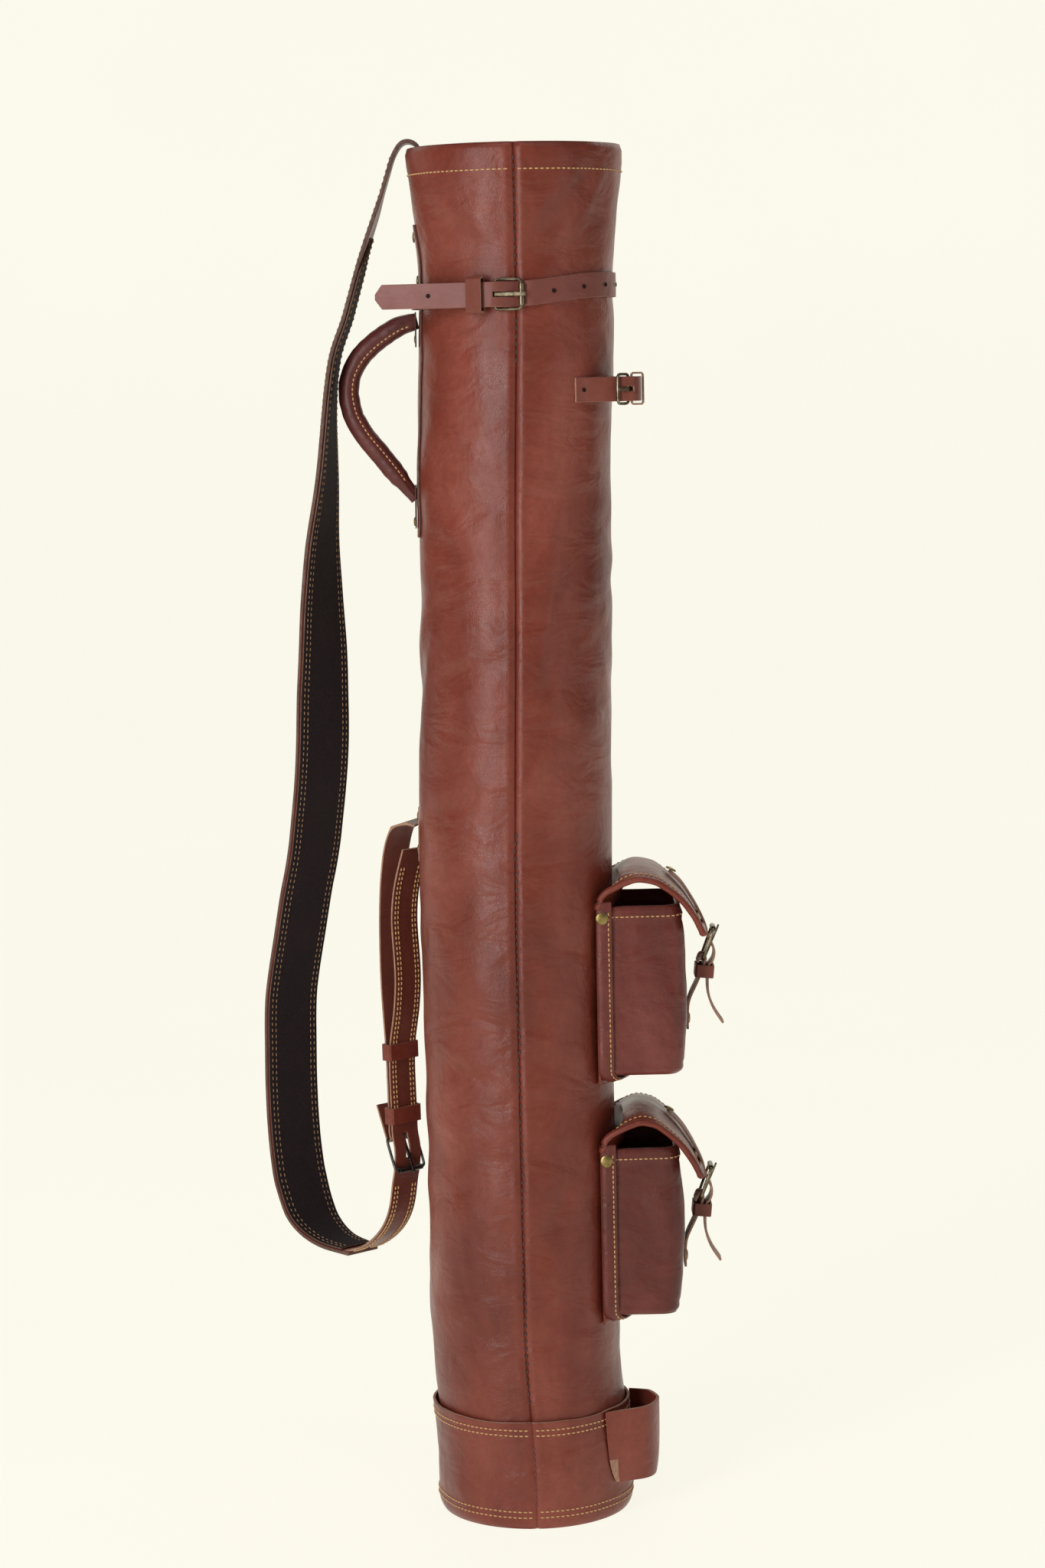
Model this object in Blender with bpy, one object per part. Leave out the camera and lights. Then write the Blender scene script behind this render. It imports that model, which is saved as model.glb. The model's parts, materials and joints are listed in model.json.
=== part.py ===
"""Leather golf bag: an open stiffened tube with two ball pockets, a band round the neck, an umbrella
strap and sleeve, a rolled carry handle and a buckled shoulder strap.

Metres, +Z up. The origin is the centre of the underside of the base. +X points at the pockets, -X at the
handle and shoulder strap, and the two side seams run up the tube at -Y and +Y.
Run with: blender --background --python part.py
"""
import math

import bmesh
import bpy
from mathutils import Vector

# ---- Driving dimensions -------------------------------------------------------------------------
HEIGHT = 0.889            # rim above the ground
BODY_R = 0.0622           # outer radius of the tube
RIM_FLARE = 0.0068        # extra radius at the mouth
FLARE_START = 0.81        # height where the mouth begins to flare
STATIONS = (0.0, 0.06, 0.10, 0.13, 0.38, 0.52, 0.66, FLARE_START, 0.848, HEIGHT)
BOW_NECK = 0.0039         # the neck stands this far towards the pockets
BOW_BELLY = 0.0050        # the belly stands this far towards the handle
LEATHER = 0.0024          # body leather
LINER = 0.0016            # stiffener wall
GAP = 0.0004              # clearance between touching layers
AROUND = 36               # facets round the tube

CUFF_TOP = 0.0713
CUFF_LEATHER = 0.0020
BOARD = 0.0050            # base disc thickness

STRAP_LEATHER = 0.0016    # every buckled strap
STRAP_WIDTH = 0.0155      # band, umbrella and pocket straps
WIRE = 0.0010             # buckle wire radius
ROLLER_R = 0.00195        # roller outer radius
PRONG = 0.0012            # prong thickness
PRONG_WIDTH = 0.0022
EYE = 0.00035             # clearance of whatever turns on a buckle bar
FOLD_R = WIRE + EYE + STRAP_LEATHER / 2         # middle of a strap folded round a bar
OVER = FOLD_R + STRAP_LEATHER + EYE             # middle of a strap that passes over that fold
UNDER = ROLLER_R + EYE + STRAP_LEATHER / 2      # middle of a strap that passes under a roller
KEEPER_WALL = 0.0012
RIVET_R = 0.0040
RIVET_HEIGHT = 0.0016

BAND_Z = 0.7955
BAND_RISE = 0.0055        # the band climbs this much towards the pocket side
UMBRELLA_Z = 0.735

POCKET_HALF = 0.0400      # half the pouch's width
POCKET_TOP = 0.4040
POCKET_BOTTOM = 0.2930
POCKET_FRONT = 0.1045
POCKET_STEP = 0.159       # the lower pocket sits this far below the upper one
LOWER_REACH = -0.004      # and its front stands back by this much
FLAP_HALF = 0.0425
FLAP_HINGE = (0.0640, 0.4245)
FLAP_CROWN = 0.0050

STRAP_PLANE_AT = (-0.0665, 0.016)               # the shoulder strap hangs in one upright plane
STRAP_PLANE_TURN = math.radians(132)
PAD_WIDTH = 0.044
PAD_LEATHER = 0.0024
LINING = 0.0012
TONGUE_WIDTH = 0.0220

HANDLE_R = 0.00675
HANDLE_END_R = 0.0028

BROWN = (0.235, 0.062, 0.032)
DARK_BROWN = (0.120, 0.030, 0.018)
LINING_BROWN = (0.045, 0.022, 0.020)
RAW_TAN = (0.42, 0.25, 0.17)
BOARD_TAN = (0.30, 0.20, 0.12)
BRASS = (0.30, 0.24, 0.12)
GUNMETAL = (0.10, 0.095, 0.085)


# ---- Shape rules --------------------------------------------------------------------------------
def ease(low, high, value):
    t = min(1.0, max(0.0, (value - low) / (high - low)))
    return t * t * (3 - 2 * t)


def by_station(rule, z):
    """Value of a rule that runs straight between the tube's stations, so that all layers nest."""
    for low, high in zip(STATIONS, STATIONS[1:]):
        if z <= high:
            part = (z - low) / (high - low)
            return rule(low) * (1 - part) + rule(high) * part
    return rule(STATIONS[-1])


def bow(z):
    """Sideways place of the tube's middle at a height."""
    return by_station(lambda h: BOW_NECK * ease(0.62, FLARE_START, h)
                      - BOW_BELLY * ease(0.02, 0.13, h) * (1 - ease(0.38, 0.66, h)), z)


def radius(z):
    return by_station(lambda h: BODY_R + RIM_FLARE * ease(FLARE_START, HEIGHT, h), z)


def on_tube(angle, z, stand_off):
    """Point on the tube at an angle in degrees, a distance outside the leather's outer face."""
    r = radius(z) + stand_off
    a = math.radians(angle)
    return Vector((bow(z) + r * math.cos(a), r * math.sin(a), z))


def tube_x(y, z, stand_off):
    """X of the pocket side of the tube where it has this Y."""
    return bow(z) + math.sqrt((radius(z) + stand_off) ** 2 - y * y)


def smooth(points, spacing):
    """Points about a spacing apart on a smooth curve through the given ones."""
    points = [Vector(p) for p in points]
    ends = [2 * points[0] - points[1]] + points + [2 * points[-1] - points[-2]]
    found = []
    for i in range(1, len(ends) - 2):
        a, b, c, d = ends[i - 1:i + 3]
        steps = max(1, round((c - b).length / spacing))
        for k in range(steps):
            t = k / steps
            found.append(0.5 * (2 * b + (c - a) * t + (2 * a - 5 * b + 4 * c - d) * t * t
                                + (3 * b - a - 3 * c + d) * t ** 3))
    return found + [points[-1]]


class Plane:
    """An upright or level plane that a strap bends in; its third direction is the strap's width."""

    def __init__(self, at, first, second):
        self.at = Vector(at)
        self.first = Vector(first).normalized()
        self.second = Vector(second).normalized()
        self.across = self.first.cross(self.second)

    def point(self, p, across=0.0):
        return self.at + self.first * p[0] + self.second * p[1] + self.across * across


# ---- Mesh makers --------------------------------------------------------------------------------
def finish_object(name, bm, material, origin):
    """Turn a bmesh in world places into an object whose own origin is on its joint's axis."""
    origin = Vector(origin)
    bmesh.ops.recalc_face_normals(bm, faces=bm.faces)
    bmesh.ops.translate(bm, verts=bm.verts, vec=-origin)
    mesh = bpy.data.meshes.new(name)
    bm.to_mesh(mesh)
    bm.free()
    mesh.materials.append(material)
    obj = bpy.data.objects.new(name, mesh)
    obj.location = origin
    bpy.context.scene.collection.objects.link(obj)
    mesh.shade_smooth()
    mesh.set_sharp_from_angle(angle=math.radians(35))
    return obj


def slab(name, grid, thickness, material, closed=False, holes=(), origin=(0, 0, 0)):
    """Sheet of even thickness about a grid of middle points, with some cells left out."""
    rows, columns = len(grid), len(grid[0])

    def normal(i, j):
        after = (i + 1) % rows if closed else min(i + 1, rows - 1)
        before = (i - 1) % rows if closed else max(i - 1, 0)
        along = grid[after][j] - grid[before][j]
        across = grid[i][min(j + 1, columns - 1)] - grid[i][max(j - 1, 0)]
        return along.cross(across).normalized()

    bm = bmesh.new()
    made = {}

    def vertex(i, j, side):
        key = (i % rows, j, side)
        if key not in made:
            place = grid[key[0]][j] + normal(key[0], j) * (side * thickness / 2)
            made[key] = bm.verts.new(place)
        return made[key]

    last = rows if closed else rows - 1
    cells = {(i, j) for i in range(last) for j in range(columns - 1)} - set(holes)
    for i, j in cells:
        corners = [(i, j), (i + 1, j), (i + 1, j + 1), (i, j + 1)]
        for side in (1, -1):
            bm.faces.new([vertex(a, b, side) for a, b in corners[::side]])
        beyond = [(i, j - 1), ((i + 1) % last if closed else i + 1, j), (i, j + 1),
                  ((i - 1) % last if closed else i - 1, j)]
        for k, neighbour in enumerate(beyond):
            if neighbour in cells:
                continue
            (a, b), (c, d) = corners[k], corners[(k + 1) % 4]
            bm.faces.new([vertex(a, b, 1), vertex(a, b, -1), vertex(c, d, -1), vertex(c, d, 1)])
    return finish_object(name, bm, material, origin)


def strip(name, plane, route, width, thickness, material, slots=(), origin=(0, 0, 0)):
    """Flat strap along a route in a plane; slots names the route's pieces that a prong goes through."""
    half, slot = width / 2, PRONG_WIDTH / 2 + 0.0006
    columns = [-half, -slot, slot, half] if slots else [-half, half]
    grid = [[plane.point(p, c) for c in columns] for p in route]
    return slab(name, grid, thickness, material, holes={(i, 1) for i in slots}, origin=origin)


def ribbon(name, centres, turns, widths, thickness, material, slots=(), origin=(0, 0, 0)):
    """Strap that may twist: turns holds the heading in degrees of the upright plane it bends in."""
    grid = []
    for centre, turn, width in zip(centres, turns, widths):
        t = math.radians(turn)
        across = Vector((math.sin(t), -math.cos(t), 0))
        half, slot = width / 2, PRONG_WIDTH / 2 + 0.0006
        columns = [-half, -slot, slot, half] if slots else [-half, 0.0, half]
        grid.append([centre + across * c for c in columns])
    return slab(name, grid, thickness, material, holes={(i, 1) for i in slots}, origin=origin)


def tube_wall(name, angles, heights, stand_off, thickness, material, closed=False):
    """Wall that follows the tube, its outer face a distance outside the leather's outer face."""
    middle = stand_off - thickness / 2
    grid = [[on_tube(a, z, middle) for z in heights] for a in angles]
    return slab(name, grid, thickness, material, closed=closed)


def swept(name, centres, radii, sides, material, across, closed=False, origin=(0, 0, 0)):
    """Round bar along a flat route whose plane has the given normal."""
    bm = bmesh.new()
    across = Vector(across)
    count = len(centres)
    rings = []
    for i, centre in enumerate(centres):
        after = centres[(i + 1) % count] if closed else centres[min(i + 1, count - 1)]
        before = centres[i - 1] if closed else centres[max(i - 1, 0)]
        outward = (after - before).cross(across).normalized()
        turns = [2 * math.pi * k / sides for k in range(sides)]
        rings.append([bm.verts.new(centre + radii[i] * (outward * math.cos(t) + across * math.sin(t)))
                      for t in turns])
    for i in range(count if closed else count - 1):
        a, b = rings[i], rings[(i + 1) % count]
        for k in range(sides):
            bm.faces.new([a[k], a[(k + 1) % sides], b[(k + 1) % sides], b[k]])
    if not closed:
        bm.faces.new(rings[0])
        bm.faces.new(rings[-1])
    return finish_object(name, bm, material, origin)


def sleeve_ring(name, centre, axis, outer, inner, length, sides, material):
    """Short pipe round an axis, such as a buckle's roller."""
    axis = Vector(axis).normalized()
    first = axis.orthogonal().normalized()
    second = axis.cross(first)
    bm = bmesh.new()
    loops = []
    for r, end in ((outer, -0.5), (outer, 0.5), (inner, 0.5), (inner, -0.5)):
        turns = [2 * math.pi * k / sides for k in range(sides)]
        loops.append([bm.verts.new(centre + axis * (end * length)
                                   + r * (first * math.cos(t) + second * math.sin(t))) for t in turns])
    for i in range(4):
        a, b = loops[i], loops[(i + 1) % 4]
        for k in range(sides):
            bm.faces.new([a[k], a[(k + 1) % sides], b[(k + 1) % sides], b[k]])
    return finish_object(name, bm, material, centre)


def rivet_cap(name, foot, out, material):
    """Low rounded cap: the middle of its foot and its outward direction."""
    foot, out = Vector(foot), Vector(out).normalized()
    first = out.orthogonal().normalized()
    second = out.cross(first)
    sides = 12
    rings = []
    bm = bmesh.new()
    for level, scale in ((0.0, 1.0), (0.5, 1.0), (1.0, 0.8)):
        turns = [2 * math.pi * k / sides for k in range(sides)]
        rings.append([bm.verts.new(foot + out * (level * RIVET_HEIGHT) + RIVET_R * scale
                                   * (first * math.cos(t) + second * math.sin(t))) for t in turns])
    for a, b in zip(rings, rings[1:]):
        for k in range(sides):
            bm.faces.new([a[k], a[(k + 1) % sides], b[(k + 1) % sides], b[k]])
    bm.faces.new(rings[0])
    bm.faces.new(rings[-1])
    finish_object(name, bm, material, foot)


def pouch(name, outlines, thickness, material, stand_off):
    """Cup with a floor, open at the top and at the back, where it stands against the tube.

    outlines holds (z, points) from the floor up; every outline runs from one back edge round the
    front to the other, and the floor's own back edge follows the tube.
    """
    bm = bmesh.new()

    def inset(points, z):
        inner = []
        for i, p in enumerate(points):
            after, before = points[min(i + 1, len(points) - 1)], points[max(i - 1, 0)]
            inner.append(p + Vector((-(after - before).y, (after - before).x)).normalized() * thickness)
        for end in (0, -1):
            inner[end] = Vector((tube_x(inner[end].y, z, stand_off), inner[end].y))
        return inner

    def loop(points, z):
        return [bm.verts.new((p.x, p.y, z)) for p in points]

    outer = [loop(points, z) for z, points in outlines]
    inner = [loop(inset(points, z), z + (thickness if k == 0 else 0))
             for k, (z, points) in enumerate(outlines)]
    count = len(outer[0])
    for k in range(len(outlines) - 1):
        for i in range(count - 1):
            bm.faces.new([outer[k][i], outer[k][i + 1], outer[k + 1][i + 1], outer[k + 1][i]])
            bm.faces.new([inner[k][i], inner[k + 1][i], inner[k + 1][i + 1], inner[k][i + 1]])
        for i in (0, count - 1):
            bm.faces.new([outer[k][i], inner[k][i], inner[k + 1][i], outer[k + 1][i]])
    for i in range(count - 1):
        bm.faces.new([outer[-1][i], outer[-1][i + 1], inner[-1][i + 1], inner[-1][i]])
    floor = outlines[0][0]
    y0, y1 = inner[0][0].co.y, inner[0][-1].co.y
    steps = 8
    back = []
    for k in range(1, steps):
        y = y0 + (y1 - y0) * k / steps
        back.append(Vector((tube_x(y, floor, stand_off), y)))
    low, high = loop(back, floor), loop(back, floor + thickness)
    low = [outer[0][0]] + low + [outer[0][-1]]
    high = [inner[0][0]] + high + [inner[0][-1]]
    for k in range(steps):
        bm.faces.new([low[k], low[k + 1], high[k + 1], high[k]])
    for front, rear in ((outer[0], low), (inner[0], high)):
        bm.faces.new([front[0], front[1], rear[1]])
        i = j = 1
        while i < count - 2 or j < steps - 1:
            if j == steps - 1 or (i < count - 2 and front[i + 1].co.y <= rear[j + 1].co.y):
                bm.faces.new([front[i], front[i + 1], rear[j]])
                i += 1
            else:
                bm.faces.new([front[i], rear[j + 1], rear[j]])
                j += 1
        bm.faces.new([front[i], front[-1], rear[j]])
    return finish_object(name, bm, material, (0, 0, 0))


# ---- Buckles ------------------------------------------------------------------------------------
class Buckle:
    """A roller buckle: heel and tip are its two bars in the strap's plane, and face its outer side."""

    def __init__(self, name, plane, heel, tip, face, window):
        self.name, self.plane, self.window = name, plane, window
        self.heel, self.tip = Vector(heel), Vector(tip)
        self.length = (self.tip - self.heel).length
        self.along = (self.tip - self.heel) / self.length
        sideways = Vector((-self.along.y, self.along.x))
        self.out = sideways * math.copysign(1, sideways.dot(Vector(face)))

    def flat(self, x, n):
        """Point in the strap's plane, x from the heel bar towards the tip bar and n outwards."""
        return self.heel + self.along * x + self.out * n

    def local(self, p):
        d = Vector(p) - self.heel
        return d.dot(self.along), d.dot(self.out)

    def fold(self, leaf):
        """Route of the chape from 4 mm before the bar, round it, and back along its short leaf."""
        turns = [math.radians(a) for a in (90, 60, 30, 0, -30, -60, -90)]
        arc = [self.flat(FOLD_R * math.cos(t), FOLD_R * math.sin(t)) for t in turns]
        return [self.flat(-0.0034, FOLD_R)] + arc + [self.flat(-0.0034, -FOLD_R), self.flat(-leaf, -FOLD_R)]

    def fold_slots(self, route):
        """Pieces of a chape's route that the prong's eye turns in."""
        near = []
        for i in range(len(route) - 1):
            x, n = self.local((route[i] + route[i + 1]) / 2)
            if x > -0.0034 and abs(n) < 0.004:
                near.append(i)
        return near

    def tongue_slots(self, route):
        """Pieces of a tongue's route that the prong passes through."""
        crossed = []
        for i in range(len(route) - 1):
            x, n = self.local((route[i] + route[i + 1]) / 2)
            if 0 < x < self.length - 0.001 and -0.0016 < n < OVER + 0.0004:
                crossed.append(i)
        return crossed

    def build(self, metal, roller=True):
        plane, half = self.plane, self.window / 2 + WIRE
        corner = 0.0024
        rail = []
        for cx, cz, start in ((self.length, half, 90), (self.length, -half, 0), (0, -half, -90), (0, half, 180)):
            inward_x = -corner if cx else corner
            inward_z = -math.copysign(corner, cz)
            for turn in (start, start - 30, start - 60, start - 90):
                t = math.radians(turn)
                x = cx + inward_x + corner * math.cos(t)
                rail.append((x, cz + inward_z + corner * math.sin(t)))
        centres = [plane.point(self.flat(x, 0), z) for x, z in rail]
        normal = plane.point(self.out) - plane.at
        heel, tip = plane.point(self.heel), plane.point(self.tip)
        swept(self.name + "_frame", centres, [WIRE] * len(centres), 8, metal, normal, closed=True, origin=heel)
        if roller:
            sleeve_ring(self.name + "_roller", tip, plane.across, ROLLER_R, WIRE + EYE,
                        2 * (half - corner) - 0.0006, 12, metal)
        reach = WIRE + EYE + PRONG / 2
        hook = [self.flat(reach * math.cos(math.radians(a)), reach * math.sin(math.radians(a)))
                for a in (-60, -90, -120, -150, -180, -210, -240, -270)]
        above = ROLLER_R + EYE + PRONG / 2
        arm = [self.flat(self.length * 0.4, reach + 0.0002), self.flat(self.length - 0.001, above),
               self.flat(self.length + 0.0030, above)]
        grid = [[plane.point(p, c) for c in (-PRONG_WIDTH / 2, PRONG_WIDTH / 2)] for p in hook + arm]
        slab(self.name + "_prong", grid, PRONG, metal, origin=heel)


def keeper(name, plane, centre, along, low, high, width, length, material, origin=None):
    """Loop round a stack of straps; low and high are its inside limits off the centre."""
    centre, along = Vector(centre), Vector(along).normalized()
    out = Vector((-along.y, along.x))
    wall = KEEPER_WALL / 2
    side = width / 2 + wall
    low, high = low - wall, high + wall
    corner = 0.0008
    loop = [(low, corner - side), (low, side - corner), (low + corner, side), (high - corner, side),
            (high, side - corner), (high, corner - side), (high - corner, -side), (low + corner, -side)]
    grid = [[plane.point(centre + out * n + along * s, w) for s in (-length / 2, length / 2)] for n, w in loop]
    slab(name, grid, KEEPER_WALL, material, closed=True, origin=origin or plane.point(centre))


# ---- Tube ---------------------------------------------------------------------------------------
def make_tube(skin, board):
    heights = [0.0004, *STATIONS[1:]]
    step = 360 / AROUND
    half = [-90 + step * k for k in range(AROUND // 2 + 1)]
    seam = 0.25
    for name, turn in (("body_panel_right", 0), ("body_panel_left", 180)):
        angles = [a + turn for a in [-90 + seam] + half[1:-1] + [90 - seam]]
        tube_wall(name, angles, heights, 0.0, LEATHER, skin)
    ring = [step * k for k in range(AROUND)]
    liner = [BOARD + GAP] + heights[1:-1] + [0.8655]
    inside = -LEATHER - GAP
    tube_wall("stiffener_tube", ring, liner, inside, LINER, board, closed=True)
    tube_wall("rim_facing", ring, [0.8660, HEIGHT - 0.0006], inside, 0.0022, skin, closed=True)
    bm = bmesh.new()
    floor_r = BODY_R + inside
    low, high = [[bm.verts.new((bow(0) + floor_r * math.cos(math.radians(a)),
                                floor_r * math.sin(math.radians(a)), z)) for a in ring] for z in (0, BOARD)]
    for k in range(AROUND):
        bm.faces.new([low[k], low[(k + 1) % AROUND], high[(k + 1) % AROUND], high[k]])
    bm.faces.new(low)
    bm.faces.new(high)
    finish_object("base_disc", bm, skin, (0, 0, 0))
    for name, turn in (("base_cuff_right", 0), ("base_cuff_left", 180)):
        angles = [a + turn for a in [-90 + seam] + half[1:-1] + [90 - seam]]
        tube_wall(name, angles, [0.0, 0.05, CUFF_TOP], GAP + CUFF_LEATHER, CUFF_LEATHER, skin)


# ---- Band round the neck ------------------------------------------------------------------------
def make_band(skin, metal):
    level = Plane((0, 0, 0), (1, 0, 0), (0, 1, 0))
    middle = Vector((bow(BAND_Z), 0.0))

    def polar(angle, r):
        return middle + Vector((math.cos(math.radians(angle)), math.sin(math.radians(angle)))) * r

    def lift(grid):
        for row in grid:
            for p in row:
                p.z += BAND_Z + BAND_RISE * ease(0.0, BODY_R, p.x)
        return grid

    on_body = BODY_R + 0.0008 + STRAP_LEATHER / 2
    raised = on_body + 0.0026
    buckle_level = Plane((0, 0, BAND_Z), (1, 0, 0), (0, 1, 0))
    buckle = Buckle("band_buckle", buckle_level, polar(-101.5, BODY_R + 0.0040),
                    polar(-87.0, BODY_R + 0.0048), (0, -1), STRAP_WIDTH + 0.0012)
    near = [buckle.flat(buckle.length + x, n) for x, n in ((0.0065, -0.0031), (0.0005, -UNDER))]
    inner = [buckle.flat(buckle.length * f, n) for f, n in ((0.72, -0.0016), (0.42, 0.0016), (0.16, 0.0036))]
    over = [buckle.flat(-0.0008, OVER + 0.0001), polar(-108, BODY_R + 0.0081), polar(-114, BODY_R + 0.0078)]
    tail = [Vector(p) for p in ((-0.036, -0.0612), (-0.056, -0.0556), (-0.0805, -0.0494))]
    round_body = [polar(a, on_body) for a in range(94, -77, -10)]
    route = round_body + smooth([round_body[-1]] + near + inner + over + tail, 0.0032)[1:]
    half, slot = STRAP_WIDTH / 2, PRONG_WIDTH / 2 + 0.0006
    grid = lift([[level.point(p, c) for c in (-half, -slot, slot, half)] for p in route])
    tip = grid[-1]
    shift = level.point((-0.0044, 0.0010)) - level.at
    tip[1], tip[2] = tip[1] + shift, tip[2] + shift
    slab("band_strap", grid, STRAP_LEATHER, skin, holes={(i, 1) for i in buckle.tongue_slots(route)})

    angles = [106, 116, 126, 136, 146, 156, 163]
    back = [polar(a, on_body) for a in angles]
    behind_handle = [polar(a, raised) for a in (167, 174, 180, 186, 193)]
    front = [polar(a, on_body) for a in (197, 207, 217, 227)]
    up = [polar(235, BODY_R + 0.0030), polar(242, BODY_R + 0.0050), polar(249, BODY_R + 0.0060)]
    route = smooth(back + behind_handle + front + up + buckle.fold(0.0040), 0.0200)
    grid = lift([[level.point(p, c) for c in (-half, -slot, slot, half)] for p in route])
    slab("band_chape", grid, STRAP_LEATHER, skin, holes={(i, 1) for i in buckle.fold_slots(route)})
    buckle.build(metal)
    at = polar(-111.8, BODY_R + 0.0069)
    along = Vector((math.sin(math.radians(-111.8)), -math.cos(math.radians(-111.8))))
    keeper("band_keeper", buckle_level, at, along, -0.0030, 0.0026, STRAP_WIDTH + 0.0012, 0.0125, skin)


# ---- Umbrella strap and sleeve ------------------------------------------------------------------
def make_umbrella_strap(skin, metal):
    level = Plane((0, 0, UMBRELLA_Z), (1, 0, 0), (0, 1, 0))
    middle = Vector((bow(UMBRELLA_Z), 0.0))
    on_body = BODY_R + 0.0008 + STRAP_LEATHER / 2

    def polar(angle, r):
        return middle + Vector((math.cos(math.radians(angle)), math.sin(math.radians(angle)))) * r

    buckle = Buckle("umbrella_buckle", level, (0.0735, -0.0375), (0.0665, -0.0455), (1, -1),
                    STRAP_WIDTH + 0.0012)
    start = [polar(-54, on_body), polar(-48, on_body + 0.0004)]
    reach = [Vector(p) for p in ((0.0535, -0.0450), (0.0600, -0.0447))]
    inner = [buckle.flat(buckle.length * f, n) for f, n in ((1.0, -UNDER), (0.72, -0.0012), (0.40, 0.0022))]
    over = [buckle.flat(0.0002, OVER + 0.0002), buckle.flat(-0.0050, OVER)]
    tail = [Vector(p) for p in ((0.0812, -0.0290), (0.0808, -0.0220))]
    route = smooth(start + reach + inner + over + tail, 0.0030)
    strip("umbrella_strap", level, route, STRAP_WIDTH, STRAP_LEATHER, skin, buckle.tongue_slots(route))

    far = [polar(10, on_body), polar(1, on_body), polar(-7, on_body + 0.0005)]
    bend = [Vector(p) for p in ((0.0722, -0.0140), (0.0768, -0.0205), (0.0782, -0.0275))]
    route = smooth(far + bend + buckle.fold(0.0040), 0.0060)
    strip("umbrella_chape", level, route, STRAP_WIDTH, STRAP_LEATHER, skin, buckle.fold_slots(route))
    buckle.build(metal, roller=False)
    keeper("umbrella_keeper", level, (0.0795, -0.0255), (0.05, -1), -0.0030, 0.0030, STRAP_WIDTH + 0.0030,
           0.0060, skin)


def make_umbrella_sleeve(skin):
    stand_off = GAP + CUFF_LEATHER + 0.0014
    near = on_tube(-43, 0.05, stand_off)
    far = on_tube(9, 0.05, stand_off)
    bulge = [(0.0590, -0.0405), (0.0720, -0.0350), (0.0800, -0.0260), (0.0832, -0.0140),
             (0.0815, -0.0020), (0.0760, 0.0070)]
    rim = smooth([near.xy] + bulge + [far.xy], 0.0070)
    middle = Vector((0.0640, -0.0150))
    outlines = []
    for z, shrink in ((0.0225, 0.86), (0.0350, 1.0), (0.0715, 0.985)):
        ring = [middle + (p - middle) * shrink for p in rim]
        for k in (0, -1):
            y = rim[k].y * (shrink if shrink < 0.9 else 1.0)
            ring[k] = Vector((tube_x(y, z, stand_off), y))
        outlines.append((z, ring))
    pouch("umbrella_sleeve", outlines, 0.0020, skin, stand_off)


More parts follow.
